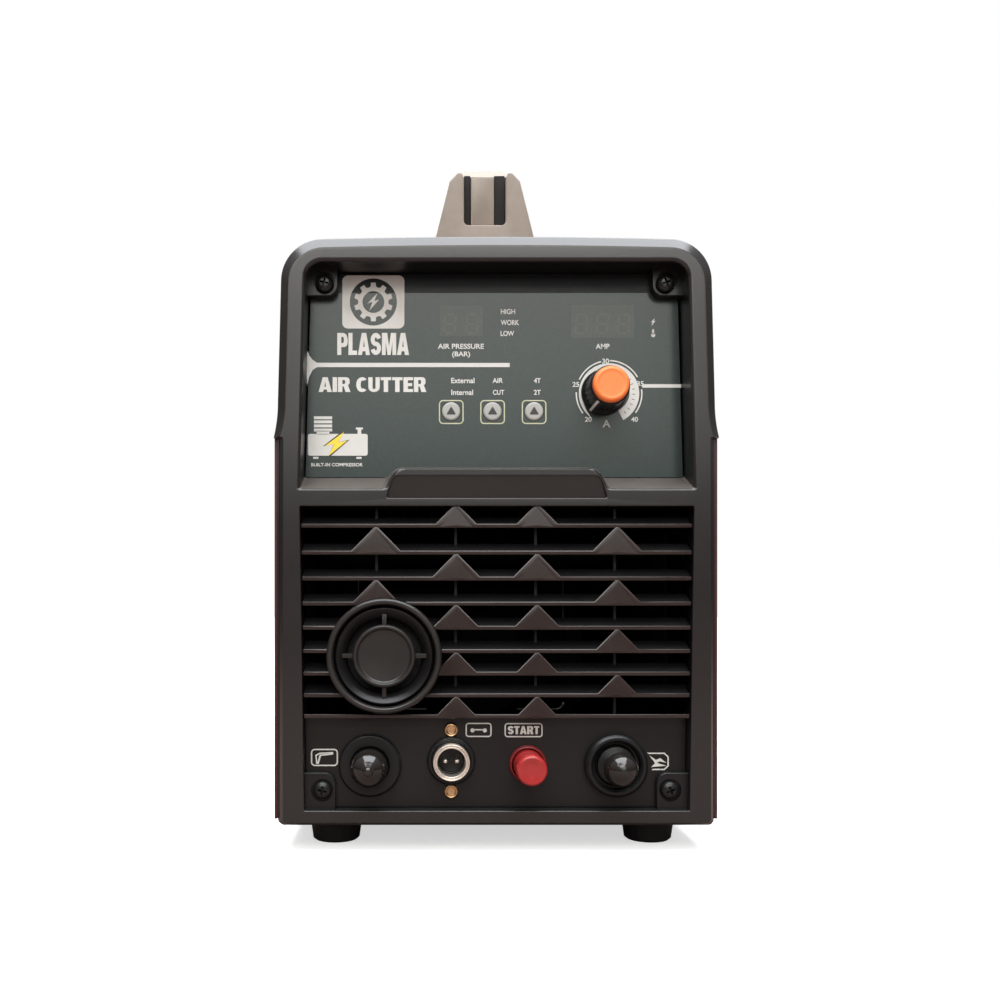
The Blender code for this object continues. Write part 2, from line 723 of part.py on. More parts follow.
# ---------------------------------------------------------------- controls
def current_knob():
    """The knob on the potentiometer's shaft: a black skirt, an orange cap and the shaft itself."""
    x, z = KNOB
    top = 0.0167  # height of the skirt's front over the film
    skirt = [(0, top), (0.0086, top), (0.0093, 0.0030), (0.0104, 0.0018), (0.0107, 0.0004)]
    skirt += [(0.0033, 0.0004), (0.0033, 0.0120), (0, 0.0120)]
    place = (x, FILM_DEPTH, z)
    turned("knob_skirt", skirt, place, BLACK_PLASTIC)
    cap = [
        (0, top + 0.0033), (0.0070, top + 0.0031), (0.0080, top + 0.0022), (0.0083, top + GAP),
        (0, top + GAP),
    ]
    turned("knob_cap", cap, place, ORANGE)
    shaft = [(0, 0.0115), (0.0029, 0.0115), (0.0029, -0.0030), (0, -0.0030)]
    turned("pot_shaft", shaft, place, ALUMINIUM, steps=FEW_TURNS)
    body = [(0.0036, 0.0), (0.0083, 0.0), (0.0083, -0.0066), (0.0036, -0.0066)]
    turned("pot_body", body, (x, PANEL_DEPTH + PLATE + GAP, z), BARE_STEEL, steps=FEW_TURNS)


def key(name, x):
    """A round key cap in the film, on a stem that reaches back to its switch."""
    profile = [
        (0, 0.0006), (0.0038, 0.0006), (KEY_RADIUS, 0.0002), (KEY_RADIUS, -0.0004), (0.0020, -0.0004)
    ]
    profile += [(0.0020, -0.0080), (0, -0.0080)]
    turned(f"key_{name}", profile, (x, FILM_DEPTH, KEY_Z), WHITE_PLASTIC, steps=18)


def display(name):
    x, half = DISPLAYS[name]
    half -= GAP
    z = (DISPLAY_Z - DISPLAY_HALF_HEIGHT + GAP, DISPLAY_Z + DISPLAY_HALF_HEIGHT - GAP)
    return box(f"display_{name}", (x - half, x + half), (PANEL_DEPTH, 0.0266), z, DISPLAY)


def control_pcb():
    """The board behind the control plate, with a switch under each key and a connector."""
    board = box("control_pcb", (-0.080, 0.080), (0.0270, 0.0286), (0.1765, 0.2530), BOARD)
    switches = [
        box(
            f"switch_{name}", (x - 0.003, x + 0.003), (0.0263, 0.0275), (KEY_Z - 0.003, KEY_Z + 0.003),
            BOARD,
        )
        for name, x in KEYS.items()
    ]
    return fuse(board, *switches, box("header", (-0.02, 0.02), (0.028, 0.037), (0.182, 0.190), BOARD))


def air_intake():
    """The compressor's air intake in the grille: a rim, a baffle on four spokes and a foam filter."""
    x, z = INTAKE
    inner = 0.0228
    rim = [(inner + 0.0012, 0.0045), (INTAKE_RADIUS - 0.0006, 0.0045), (INTAKE_RADIUS, 0.0037)]
    rim += [(INTAKE_RADIUS, -0.0130), (inner, -0.0130), (inner, 0.0035)]
    turned("intake_ring", rim, (x, 0, z), BLACK_PLASTIC, steps=36)
    dish = [(0, 0.0026), (0.0118, 0.0026), (0.0126, 0.0040), (0.0136, 0.0040), (0.0141, 0.0032)]
    dish += [(0.0141, -0.0060), (0, -0.0060)]
    baffle = turned("intake_cap", dish, (x, 0, z), BLACK_PLASTIC)
    slope = [(0.0212, 0.0022), (0.0225, 0.0005), (0.0225, -0.0060), (0.0168, -0.0060), (0.0168, -0.0020)]
    cone = turned("intake_cone", slope, (x, 0, z), BLACK_PLASTIC)
    across = box(
        "spoke_across", (x - 0.0190, x + 0.0190), (0.0030, 0.0050), (z - 0.001, z + 0.001), BLACK_PLASTIC
    )
    upright = box(
        "spoke_upright", (x - 0.001, x + 0.001), (0.0032, 0.0052), (z - 0.0188, z + 0.0188), BLACK_PLASTIC
    )
    fuse(baffle, cone, across, upright)
    foam = [(0, 0), (0.0222, 0), (0.0222, -0.0060), (0, -0.0060)]
    turned("intake_filter", foam, (x, 0.0066, z), FOAM, steps=24)


# ---------------------------------------------------------------- front connectors
def torch_connector():
    """The torch connector: an insulated flange, its brass core and a pull-off dust cap over the core."""
    x, z = TORCH
    place = (x, CONNECTOR_DEPTH - GAP, z)
    flange = [
        (0.0085, 0.0030), (0.0136, 0.0030), (0.0143, 0.0022), (0.0143, 0), (0.0095, 0), (0.0095, -0.0120)
    ]
    flange += [(0.0066, -0.0120), (0.0066, 0.0012), (0.0085, 0.0012)]
    turned("torch_flange", flange, place, BLACK_PLASTIC)
    core = [(0.0022, 0.0100), (0.0050, 0.0100), (0.0055, 0.0095), (0.0055, 0.0010), (0.0063, 0.0005)]
    core += [(0.0063, -0.0160), (0.0045, -0.0160), (0.0045, -0.0300), (0.0022, -0.0300)]
    turned("torch_core", core, place, BRASS, steps=FEW_TURNS)
    dome = [
        (0, 0.0195), (0.0018, 0.0194), (0.0022, 0.0186), (0.0045, 0.0177), (0.0064, 0.0158),
        (0.0078, 0.0132),
    ]
    dome += [(0.0084, 0.0100), (0.0084, 0.0016), (0.0059, 0.0016), (0.0059, 0.0104), (0, 0.0104)]
    turned("torch_dust_cap", dome, place, GLOSS_PLASTIC)


def work_socket():
    """The work-clamp socket: an insulated flange, its brass socket and a dust plug in it."""
    x, z = WORK
    place = (x, CONNECTOR_DEPTH - GAP, z)
    flange = [
        (0.0118, 0.0062), (0.0132, 0.0062), (0.0142, 0.0050), (0.0142, 0), (0.0095, 0), (0.0095, -0.0120)
    ]
    flange += [(0.0068, -0.0120), (0.0068, 0.0010), (0.0108, 0.0016), (0.0108, 0.0052)]
    turned("work_flange", flange, place, BLACK_PLASTIC)
    socket = [
        (0.0047, 0), (0.0064, 0), (0.0064, -0.0160), (0.0050, -0.0160), (0.0050, -0.0290), (0, -0.0290)
    ]
    socket += [(0, -0.0200), (0.0047, -0.0200)]
    turned("work_core", socket, place, BRASS, steps=FEW_TURNS)
    tip = FRONT_REACH + CONNECTOR_DEPTH - GAP
    ball = 0.0070
    plug = [(ball * sin(radians(a)), tip - ball + ball * cos(radians(a))) for a in range(0, 121, 20)]
    plug += [(0.0046, tip - ball - 0.0050), (0.0062, 0.0050), (0.0062, 0.0016), (0.0043, 0.0010)]
    plug += [(0.0043, -0.0150), (0, -0.0150)]
    turned("work_dust_plug", plug, place, GLOSS_PLASTIC)


def switch_socket():
    """The two-pin socket for the torch's switch lead, held by a flange ring and two screws."""
    x, z = SWITCH_SOCKET
    place = (x, CONNECTOR_DEPTH - GAP, z)
    shell = [
        (0.0066, 0.0072), (0.0077, 0.0072), (0.0080, 0.0066), (0.0080, -0.0140), (0.0064, -0.0140),
        (0.0064, 0.0070),
    ]
    turned("switch_socket_shell", shell, place, CHROME)
    ring = [(0.0083, 0.0022), (0.0102, 0.0022), (0.0108, 0.0016), (0.0108, 0), (0.0083, 0)]
    turned("switch_socket_flange", ring, place, BLACK_PLASTIC)
    face = [(0, -0.0020), (0.0061, -0.0020), (0.0061, -0.0150), (0, -0.0150)]
    insert = turned("switch_socket_insert", face, place, BLACK_PLASTIC, steps=24)
    for side in (-1, 1):
        pin = [(0, 0.0026), (0.0006, 0.0024), (0.0010, 0.0018), (0.0010, -0.0040), (0, -0.0040)]
        fuse(insert, turned(f"pin_{side}", pin, (x + side * 0.0027, place[1], z), CHROME, steps=10))
    for side in (-1, 1):
        head = [
            (0, 0.0004), (0.0015, 0.0004), (0.0017, 0.0014), (0.0027, 0.0014), (0.0033, 0.0006), (0.0033, 0)
        ]
        head += [(0.0015, 0), (0.0015, -0.0070), (0, -0.0070)]
        name = f"socket_screw_{'lower' if side < 0 else 'upper'}"
        turned(name, head, (x, place[1], z + side * SOCKET_SCREW_OFFSET), BRASS, steps=14)


def start_button():
    """The arc-start push button: a red collar through the panel and a cap that slides in it."""
    x, z = START
    place = (x, CONNECTOR_DEPTH - GAP, z)
    collar = [
        (0.0072, 0.0030), (0.0080, 0.0030), (0.0086, 0.0018), (0.0086, 0), (0.0075, 0), (0.0075, -0.0200)
    ]
    collar += [(0, -0.0200), (0, -0.0120), (0.0072, -0.0120)]
    turned("start_button_collar", collar, place, RED_PLASTIC)
    cap = [
        (0, 0.0195), (0.0050, 0.0192), (0.0064, 0.0183), (0.0069, 0.0170), (0.0069, -0.0070), (0, -0.0070)
    ]
    turned("start_button_cap", cap, place, RED_PLASTIC)


# ---------------------------------------------------------------- rear
def fan():
    """The rear fan: a square frame with its motor mount, a bladed rotor and a wire guard outside."""
    x, z = FAN
    half = FAN_SIDE / 2
    outline = rounded_rectangle((x - half, z - half), (x + half, z + half), 0.006)
    frame = extruded(
        "fan_frame", [outline, circle(FAN, 0.0560, 40)], "Y", FAN_DEPTH, FAN_DEPTH + FAN_THICKNESS,
        BLACK_PLASTIC,
    )
    mount = turned(
        "fan_mount", [(0, 0), (0.0180, 0), (0.0180, -0.003), (0, -0.003)], (x, FAN_DEPTH, z), BLACK_PLASTIC,
        steps=24,
    )
    arms = []
    for turn in (45, 135):
        arm = box(f"fan_arm_{turn}", (-0.058, 0.058), (0.0004, 0.0026), (-0.0025, 0.0025), BLACK_PLASTIC)
        arm.data.transform(Matrix.Translation((0, -FRONT, 0)))
        arm.matrix_world = Matrix.Translation(
            (x, y_at(FAN_DEPTH), z)
        ) @ Matrix.Rotation(radians(turn), 4, "Y")
        arms.append(arm)
    fuse(frame, mount, *arms)
    hub_profile = [(0, 0.0190), (0.0170, 0.0190), (0.0185, 0.0175), (0.0185, 0), (0, 0)]
    rotor = turned(
        "fan_rotor", hub_profile, (x, FAN_DEPTH + 0.0036, z), BLACK_PLASTIC, facing="rear", steps=28
    )
    blades = [fan_blade(i, 7) for i in range(7)]
    fuse_many(rotor, blades)
    guard_rings = [
        extruded(
            f"guard_ring_{i}",
            [circle(FAN, r + 0.0012, 24), circle(FAN, r - 0.0012, 24)],
            "Y",
            REAR_PANEL_DEPTH + PLATE + GAP,
            REAR_PANEL_DEPTH + PLATE + GAP + 0.0018,
            BARE_STEEL,
        )
        for i, r in enumerate((0.0180, 0.0380, 0.0580))
    ]
    bars = []
    for turn in (45, 135):
        bar = box(f"guard_bar_{turn}", (-0.0700, 0.0700), (0, 0.0018), (-0.0014, 0.0014), BARE_STEEL)
        bar.data.transform(Matrix.Translation((0, -FRONT, 0)))
        place = Matrix.Translation((x, y_at(REAR_PANEL_DEPTH + PLATE + GAP + 0.0004), z))
        bar.matrix_world = place @ Matrix.Rotation(radians(turn), 4, "Y")
        bars.append(bar)
    guard = guard_rings.pop()
    guard.name = "fan_guard"
    fuse_many(guard, guard_rings + bars)


def fan_blade(index, count):
    """One blade: thin sections that turn as they run out from the hub."""
    rings = []
    for radius, pitch, chord in ((0.0170, 52, 0.0150), (0.0350, 40, 0.0210), (0.0540, 30, 0.0230)):
        angle = radians(pitch)
        along = Vector((0, cos(angle), sin(angle))) * chord / 2
        across = Vector((0, -sin(angle), cos(angle))) * 0.0006
        middle = Vector((radius, 0, 0))
        rings.append(
            [
                middle + along + across, middle - along + across, middle - along - across,
                middle + along - across,
            ],
        )
    blade = loft(f"blade_{index}", rings, BLACK_PLASTIC)
    place = Matrix.Translation((FAN[0], y_at(FAN_DEPTH + 0.0036 + 0.0095), FAN[1]))
    turn = Matrix.Rotation(2 * pi * index / count, 4, "Y")
    blade.matrix_world = place @ turn @ Matrix.Rotation(pi / 2, 4, "X")
    return blade


def power_switch():
    """The mains rocker switch in the rear panel."""
    x, z = POWER_SWITCH
    outside = REAR_PANEL_DEPTH + PLATE
    body = box(
        "power_switch_body", (x - 0.0139, x + 0.0139), (0.3900, outside + 0.001), (z - 0.0109, z + 0.0109),
        BLACK_PLASTIC,
    )
    flange = box(
        "switch_flange", (x - 0.0158, x + 0.0158), (outside + GAP, outside + 0.0022),
        (z - 0.0128, z + 0.0128), BLACK_PLASTIC,
    )
    well = box(
        "switch_well", (x - 0.0118, x + 0.0118), (outside - 0.0090, outside + 0.0050),
        (z - 0.0095, z + 0.0095), BLACK_PLASTIC,
    )
    cut(fuse(body, flange), well)
    pivot = outside - 0.0010
    right = [(0, 0.0030), (0.0078, 0.0050), (0.0078, 0.0005), (0.0030, -0.0045)]
    tilt = radians(ROCKER_TILT)
    outline = []
    for h, d in right + [(-h, d) for h, d in reversed(right[1:])]:
        outline.append((pivot + d * cos(tilt) - h * sin(tilt), z + h * cos(tilt) + d * sin(tilt)))
    rocker = extruded("power_switch_rocker", [outline], "X", x - 0.0112, x + 0.0112, RED_PLASTIC)
    origin = Vector((x, y_at(pivot), z))
    to_pivot = Matrix.Translation(-origin) @ rocker.matrix_world
    rocker.data.transform(to_pivot)
    rocker.matrix_world = Matrix.Translation(origin)
    return rocker


def rear_fittings():
    """The mains cable gland, open for its cable, and the inlet nipple for outside air."""
    outside = REAR_PANEL_DEPTH + PLATE + GAP
    reach = CASE_LENGTH + REAR_REACH - outside
    gland = [
        (0.0052, reach), (0.0076, reach), (0.0098, reach - 0.0050), (0.0115, reach - 0.0080),
        (0.0115, 0.0085),
    ]
    gland += [
        (0.0102, 0.0080), (0.0102, 0.0062), (0.0130, 0.0060), (0.0130, 0), (0.0098, 0), (0.0098, -0.0140),
        (0.0052, -0.0140),
    ]
    turned("cable_gland", gland, (GLAND[0], outside, GLAND[1]), BLACK_PLASTIC, facing="rear", steps=20)
    inlet = [
        (0.0030, 0.0270), (0.0046, 0.0270), (0.0052, 0.0240), (0.0044, 0.0215), (0.0056, 0.0185),
        (0.0056, 0.0100),
    ]
    inlet += [
        (0.0095, 0.0095), (0.0095, 0.0015), (0.0100, 0.0010), (0.0100, 0), (0.0068, 0), (0.0068, -0.0160),
        (0.0030, -0.0160),
    ]
    turned("air_inlet", inlet, (AIR_INLET[0], outside, AIR_INLET[1]), BRASS, facing="rear", steps=FEW_TURNS)


# ---------------------------------------------------------------- inside
def main_pcb():
    """The inverter board on its shelf, with its bus capacitors."""
    board = box("main_pcb", (-0.0860, 0.0860), (0.0600, 0.3650), (BOARD_Z, BOARD_Z + 0.0016), BOARD)
    cans = []
    for i in range(3):
        profile = [(0, 0.0430), (0.0140, 0.0430), (0.0140, 0), (0, 0)]
        place = (0.0500, 0.2550 + 0.0330 * i, BOARD_Z + 0.0010)
        cans.append(turned(f"capacitor_{i}", profile, place, BLACK_PLASTIC, facing="up", steps=16))
    return fuse(board, *cans)


def heatsink():
    """A finned extrusion for the power devices, with the air flow along its fins."""
    left, right, base, tip, web = -0.0780, 0.0060, BOARD_Z + 0.0019, 0.2000, 0.1470
    count, fin = 11, 0.0022
    pitch = (right - left - fin) / (count - 1)
    outline = [(left, base), (right, base)]
    for i in reversed(range(count)):
        x = left + pitch * i
        outline += [
            (x + fin, web), (x + fin, tip), (x, tip), (x, web)
        ] if 0 < i < count - 1 else fin_end(x, fin, web, tip, i)
    return extruded("heatsink", [outline], "Y", 0.1300, 0.3200, ALUMINIUM)


def fin_end(x, fin, web, tip, index):
    """The outermost fins, whose outer side runs down to the base."""
    return [(x + fin, tip), (x, tip), (x, web)] if index else [(x + fin, web), (x + fin, tip), (x, tip)]


def transformer():
    """The main transformer: a ferrite core round a wound bobbin."""
    winding = bevelled(
        box("transformer", (0.0200, 0.0760), (0.1350, 0.2050), (0.1460, 0.1960), COPPER), 0.006, 1
    )
    core = box(
        "transformer_core", (0.0300, 0.0660), (0.1250, 0.2150), (BOARD_Z + 0.0019, 0.2020), BLACK_STEEL
    )
    return fuse(winding, core)


def compressor():
    """The air compressor: its motor, its finned pump and the cooling fan on the motor's tail shaft."""
    x, z = 0.0, 0.0760
    motor = [(0.0031, 0.1050), (0.0300, 0.1050), (0.0360, 0.0990), (0.0360, 0.0080), (0.0320, 0), (0, 0)]
    motor += [(0, 0.0960), (0.0031, 0.0960)]
    body = turned("compressor_motor", motor, (x, 0.2050, z), BLACK_STEEL, facing="rear", steps=24)
    foot_plate = box("motor_foot", (-0.0300, 0.0300), (0.2200, 0.2950), (PAN_TOP, 0.0500), BLACK_STEEL)
    fuse(body, foot_plate)
    case = [(0, 0), (0.0300, 0), (0.0300, -0.0600), (0, -0.0600)]
    pump = turned("compressor_pump", case, (x, 0.1440, z), ALUMINIUM, steps=20)
    head = []
    for i in range(6):
        radius = 0.0250 if i % 2 else 0.0200
        low, high = 0.0180 + 0.0060 * i, 0.0241 + 0.0060 * i
        profile = [(0, high), (radius, high), (radius, low), (0, low)]
        head.append(turned(f"pump_fin_{i}", profile, (x, 0.1720, z), ALUMINIUM, facing="right", steps=12))
    head.append(box("pump_head", (0.0530, 0.0620), (0.1500, 0.1940), (z - 0.022, z + 0.022), ALUMINIUM))
    fuse_many(pump, head)
    hub = [(0, 0.0160), (0.0090, 0.0160), (0.0090, 0), (0.0025, 0), (0.0025, -0.0090), (0, -0.0090)]
    wheel = turned("compressor_fan", hub, (x, 0.3110, z), BLACK_PLASTIC, facing="rear", steps=16)
    paddles = []
    for i in range(4):
        paddle = box(f"paddle_{i}", (0.0060, 0.0320), (0.0020, 0.0140), (-0.0008, 0.0008), BLACK_PLASTIC)
        paddle.data.transform(Matrix.Translation((0, -FRONT, 0)))
        paddle.matrix_world = Matrix.Translation((x, y_at(0.3110), z)) @ Matrix.Rotation(pi / 2 * i, 4, "Y")
        paddles.append(paddle)
    fuse_many(wheel, paddles)


def solenoid_valve():
    """The air valve that feeds the torch, with its coil on top."""
    block = box("solenoid_valve", (-0.0700, -0.0420), (0.0700, 0.1050), (0.0450, 0.0700), BRASS)
    fuse(block, box("valve_bracket", (-0.0620, -0.0500), (0.0760, 0.0990), (PAN_TOP, 0.0460), BRASS))
    coil = [(0, 0.0340), (0.0125, 0.0340), (0.0125, 0), (0, 0)]
    return fuse(
        block, turned("valve_coil", coil, (-0.0560, 0.0875, 0.0690), BLACK_PLASTIC, facing="up", steps=16)
    )


# ---------------------------------------------------------------- assembly
def main():
    front_bezel()
    front_grille()
    case_cover()
    base_pan()
    connector_panel()
    control_plate()
    overlay_film()
    rear_bezel()
    rear_panel()
    for side in (-1, 1):
        for row in (0, 1):
            foot(row, side)
        for row in ("upper", "lower"):
            bezel_screw(row, side)
    handle_post("handle_front_post", POST_DEPTH)
    handle_post("handle_rear_post", CASE_LENGTH - POST_DEPTH - POST_THICKNESS)
    handle_grip()
    current_knob()
    for name, x in KEYS.items():
        key(name, x)
    for name in DISPLAYS:
        display(name)
    control_pcb()
    air_intake()
    torch_connector()
    work_socket()
    switch_socket()
    start_button()
    fan()
    power_switch()
    rear_fittings()
    main_pcb()
    heatsink()
    transformer()
    compressor()
    solenoid_valve()


main()
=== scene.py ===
from math import atan2, cos, hypot, pi, radians, sin, tan

import bmesh
import bpy
from mathutils import Matrix, Vector


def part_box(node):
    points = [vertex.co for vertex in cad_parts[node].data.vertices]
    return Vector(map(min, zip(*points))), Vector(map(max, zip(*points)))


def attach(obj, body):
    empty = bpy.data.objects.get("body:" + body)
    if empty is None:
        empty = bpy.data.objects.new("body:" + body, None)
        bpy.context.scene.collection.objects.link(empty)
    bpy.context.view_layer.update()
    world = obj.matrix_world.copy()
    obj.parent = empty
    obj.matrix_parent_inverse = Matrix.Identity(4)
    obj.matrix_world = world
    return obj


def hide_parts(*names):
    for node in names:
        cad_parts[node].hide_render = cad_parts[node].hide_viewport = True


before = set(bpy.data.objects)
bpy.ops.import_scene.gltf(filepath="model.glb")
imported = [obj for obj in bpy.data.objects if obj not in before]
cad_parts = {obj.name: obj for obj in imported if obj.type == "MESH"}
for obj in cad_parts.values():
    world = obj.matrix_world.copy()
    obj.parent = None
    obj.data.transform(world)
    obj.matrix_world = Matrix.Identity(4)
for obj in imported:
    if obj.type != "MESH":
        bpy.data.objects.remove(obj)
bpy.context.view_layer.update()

MM = 0.001

# ---------------------------------------------------------------- places, from the frame
BEZEL_LOW, BEZEL_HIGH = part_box("front_bezel")
VISOR_PROUD = 1.2 * MM  # the CAD sill stands this far in front of the bezel's face
FRONT = BEZEL_LOW.y + VISOR_PROUD
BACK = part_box("rear_bezel")[1].y
BEZEL_BOTTOM = BEZEL_LOW.z
CROWN = 1.0 * MM
BEZEL_TOP = BEZEL_HIGH.z - CROWN
COVER_LOW, COVER_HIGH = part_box("case_cover")
COVER_HALF = COVER_HIGH.x
SPIGOT_DEPTH = BEZEL_HIGH.y - FRONT
FILM_LOW, FILM_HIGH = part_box("overlay_film")
FILM_DEPTH = FILM_LOW.y - FRONT
PANEL_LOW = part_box("connector_panel")[0]
CONNECTOR_DEPTH = PANEL_LOW.y - FRONT


def middle(node):
    low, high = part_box(node)
    return (low + high) / 2


def radius_of(node):
    low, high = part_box(node)
    return (high.x - low.x) / 2


def mm(points):
    """Pairs written in millimetres, as metres."""
    return [(a * MM, b * MM) for a, b in points]


# ---------------------------------------------------------------- materials
def feed(made, inputs):
    """Sets a shader node's inputs; one that is given another node's output is linked to it."""
    for key, value in inputs.items():
        if isinstance(value, bpy.types.NodeSocket):
            made.id_data.links.new(value, made.inputs[key])
        else:
            made.inputs[key].default_value = value


def shader_node(tree, kind, inputs, **settings):
    """The outputs of a new shader node with these settings and inputs."""
    made = tree.nodes.new("ShaderNode" + kind)
    for key, value in settings.items():
        setattr(made, key, value)
    feed(made, inputs)
    return made.outputs


def finish(
    name,
    colour,
    roughness,
    metallic=0.0,
    mottle=(60, 0.15),
    grain=(2200, 0.02),
    rough_spread=0.08,
    coat=0.0,
    specular=0.5,
):
    """A Principled material with cloudy colour, uneven gloss and a moulded or coated grain.
    mottle is (scale, share of the colour that varies); grain is (scale, bump depth in millimetres)."""
    made = bpy.data.materials.new(name)
    made.use_nodes = True
    tree = made.node_tree
    place = shader_node(tree, "TexCoord", {})["Object"]
    cloud = shader_node(tree, "TexNoise", {"Scale": mottle[0], "Detail": 5, "Vector": place})["Fac"]
    fine = shader_node(tree, "TexNoise", {"Scale": grain[0], "Detail": 2, "Vector": place})["Fac"]
    dark = [c * (1 - mottle[1]) for c in colour]
    light = [min(1.0, c * (1 + mottle[1])) for c in colour]
    shades = {"A": (*dark, 1), "B": (*light, 1), "Factor": cloud}
    low, high = max(0.02, roughness - rough_spread), min(1.0, roughness + rough_spread)
    bump = {"Strength": 0.6, "Distance": grain[1] * MM, "Height": fine}
    inputs = {
        "Metallic": metallic,
        "Coat Weight": coat,
        "Coat Roughness": 0.12,
        "Specular IOR Level": specular,
        "Base Color": shader_node(tree, "Mix", shades, data_type="RGBA")["Result"],
        "Roughness": shader_node(
            tree, "MapRange", {"To Min": low, "To Max": high, "Value": cloud}
        )["Result"],
        "Normal": shader_node(tree, "Bump", bump)["Normal"],
    }
    feed(tree.nodes["Principled BSDF"], inputs)
    return made


BLACK = finish(
    "moulded_black", (0.017, 0.0145, 0.014), 0.24, mottle=(35, 0.12), grain=(1500, 0.02), rough_spread=0.03
)
GRILLE_BLACK = finish("grille_black", (0.024, 0.0150, 0.0130), 0.21, mottle=(60, 0.25), grain=(1400, 0.03))
# Painted shade: the grille's fins behind its front bands, darker than the bands, as the shade in the slots.
FIN_PAINTED_SHADE = finish(
    "grille_fins_painted_shade", (0.006, 0.0055, 0.006), 0.5, mottle=(60, 0.3), grain=(1400, 0.03), specular=0.25
)
DARK_RED = finish("dark_red_collar", (0.15, 0.012, 0.013), 0.35, mottle=(120, 0.1), grain=(900, 0.01))
# Painted shade: the intake's inner cone, darker than the rim, as the shade deep in the ring.
INTAKE_PAINTED_SHADE = finish(
    "intake_cone_painted_shade", (0.004, 0.0035, 0.004), 0.34, mottle=(60, 0.2), grain=(1400, 0.02), specular=0.35
)
CAP_BLACK = finish("cap_black", (0.015, 0.013, 0.012), 0.32, mottle=(60, 0.2), grain=(1400, 0.03))
SOCKET_BLACK = finish("socket_black", (0.006, 0.006, 0.0065), 0.35, grain=(1600, 0.02), specular=0.35)
PANEL_BLACK = finish(
    "panel_black", (0.0085, 0.007, 0.007), 0.36, mottle=(40, 0.15), grain=(1300, 0.04), specular=0.35
)
# Painted light: the sill is the bezel's black plastic, painted lighter for the overhead light falling on it.
SILL = finish("sill_painted_light", (0.080, 0.067, 0.058), 0.42, mottle=(80, 0.2), grain=(1500, 0.03))
# Painted shade: the recess walls are the bezel's black plastic, painted darker as the shade inside them.
RECESS_PAINTED_SHADE = finish(
    "recess_walls_painted_shade", (0.008, 0.007, 0.008), 0.32, mottle=(60, 0.2), grain=(1500, 0.02), specular=0.35
)
# Painted light: the handle's black plastic is painted warm grey for the bright light on it; its mottle
# stands for wear.
HANDLE_PAINTED_LIGHT = finish("handle_painted_light_grey", (0.205, 0.165, 0.130), 0.60, mottle=(130, 0.20), grain=(1600, 0.08))
VINYL = finish("glossy_vinyl", (0.013, 0.011, 0.010), 0.13, grain=(700, 0.01), rough_spread=0.03, coat=0.15)
PAINT = finish("dark_red_paint", (0.060, 0.007, 0.008), 0.36, mottle=(25, 0.10), grain=(900, 0.05))
STEEL = finish("zinc_steel", (0.58, 0.58, 0.57), 0.35, metallic=1.0, mottle=(90, 0.15), grain=(400, 0.01))
DARK_STEEL = finish("black_oxide_steel", (0.012, 0.012, 0.0125), 0.30, metallic=0.3, grain=(900, 0.01))
# Painted shade: near black and dull, for the cover's inner faces and the parts inside the case, so the
# inside reads as shade.
INNER_PAINTED_SHADE = finish("inside_painted_shade", (0.008, 0.008, 0.008), 0.7, specular=0.1)
# The film's grey-green is partly its own colour and partly painted reflection, lightened for the sheen of
# the lit room on it.
FILM = finish(
    "printed_film_painted_sheen", (0.0225, 0.0325, 0.0298), 0.24, mottle=(700, 0.25), grain=(1100, 0.01),
    rough_spread=0.03,
)
# Painted reflection: near black, for the band at the film's top that mirrors the recess's dark top wall.
PAINTED_REFLECTION_BAND = finish(
    "film_top_painted_reflection", (0.003, 0.0035, 0.005), 0.40, mottle=(300, 0.2), grain=(1100, 0.01), specular=0.25
)
SMOKE = finish("smoked_window", (0.055, 0.060, 0.052), 0.20, mottle=(500, 0.15), grain=(900, 0.01))
WHITE_INK = finish("white_ink", (0.60, 0.585, 0.555), 0.45, mottle=(300, 0.05), grain=(2500, 0.005))
YELLOW_INK = finish("yellow_ink", (0.85, 0.62, 0.04), 0.45, mottle=(300, 0.05), grain=(2500, 0.005))
DARK_INK = finish("dark_ink", (0.02, 0.02, 0.022), 0.40, mottle=(300, 0.05), grain=(2500, 0.005))
CREAM_INK = finish("cream_ink", (0.50, 0.50, 0.33), 0.45, mottle=(300, 0.08), grain=(2500, 0.005))
WINDOW = finish("display_window", (0.040, 0.048, 0.041), 0.22, mottle=(600, 0.2), grain=(900, 0.01))
# Painted shade: near black and matte, for the liners that stand in for the shadow in the handle's slots.
SLOT_PAINTED_SHADE = finish("slot_liner_painted_shade", (0.024, 0.022, 0.022), 0.9, grain=(900, 0.05), specular=0.1)
UNLIT = finish("unlit_segment", (0.056, 0.062, 0.043), 0.22, mottle=(400, 0.15), grain=(900, 0.01))
ORANGE = finish("orange_cap", (0.95, 0.20, 0.045), 0.42, mottle=(150, 0.06), grain=(1500, 0.03))
RED = finish("red_button", (0.35, 0.020, 0.019), 0.25, mottle=(120, 0.08), grain=(900, 0.01), coat=0.3)
KEY_WHITE = finish("key_white", (0.36, 0.355, 0.335), 0.40, mottle=(200, 0.06), grain=(1500, 0.02))
RUBBER = finish("foot_rubber", (0.012, 0.012, 0.013), 0.75, mottle=(120, 0.25), grain=(1200, 0.06))
NICKEL = finish(
    "nickel_plate", (0.88, 0.81, 0.74), 0.38, metallic=1.0, mottle=(250, 0.10), grain=(900, 0.01)
)
BRASS = finish(
    "turned_brass", (0.66, 0.44, 0.25), 0.32, metallic=1.0, mottle=(250, 0.15), grain=(900, 0.01)
)
FOAM = finish("filter_foam", (0.010, 0.010, 0.010), 0.95, mottle=(900, 0.6), grain=(500, 0.6))
ALUMINIUM = finish(
    "cast_aluminium", (0.35, 0.35, 0.36), 0.45, metallic=1.0, mottle=(80, 0.15), grain=(700, 0.06)
)
BOARD = finish("solder_mask", (0.008, 0.05, 0.02), 0.40, mottle=(400, 0.5), grain=(600, 0.05))


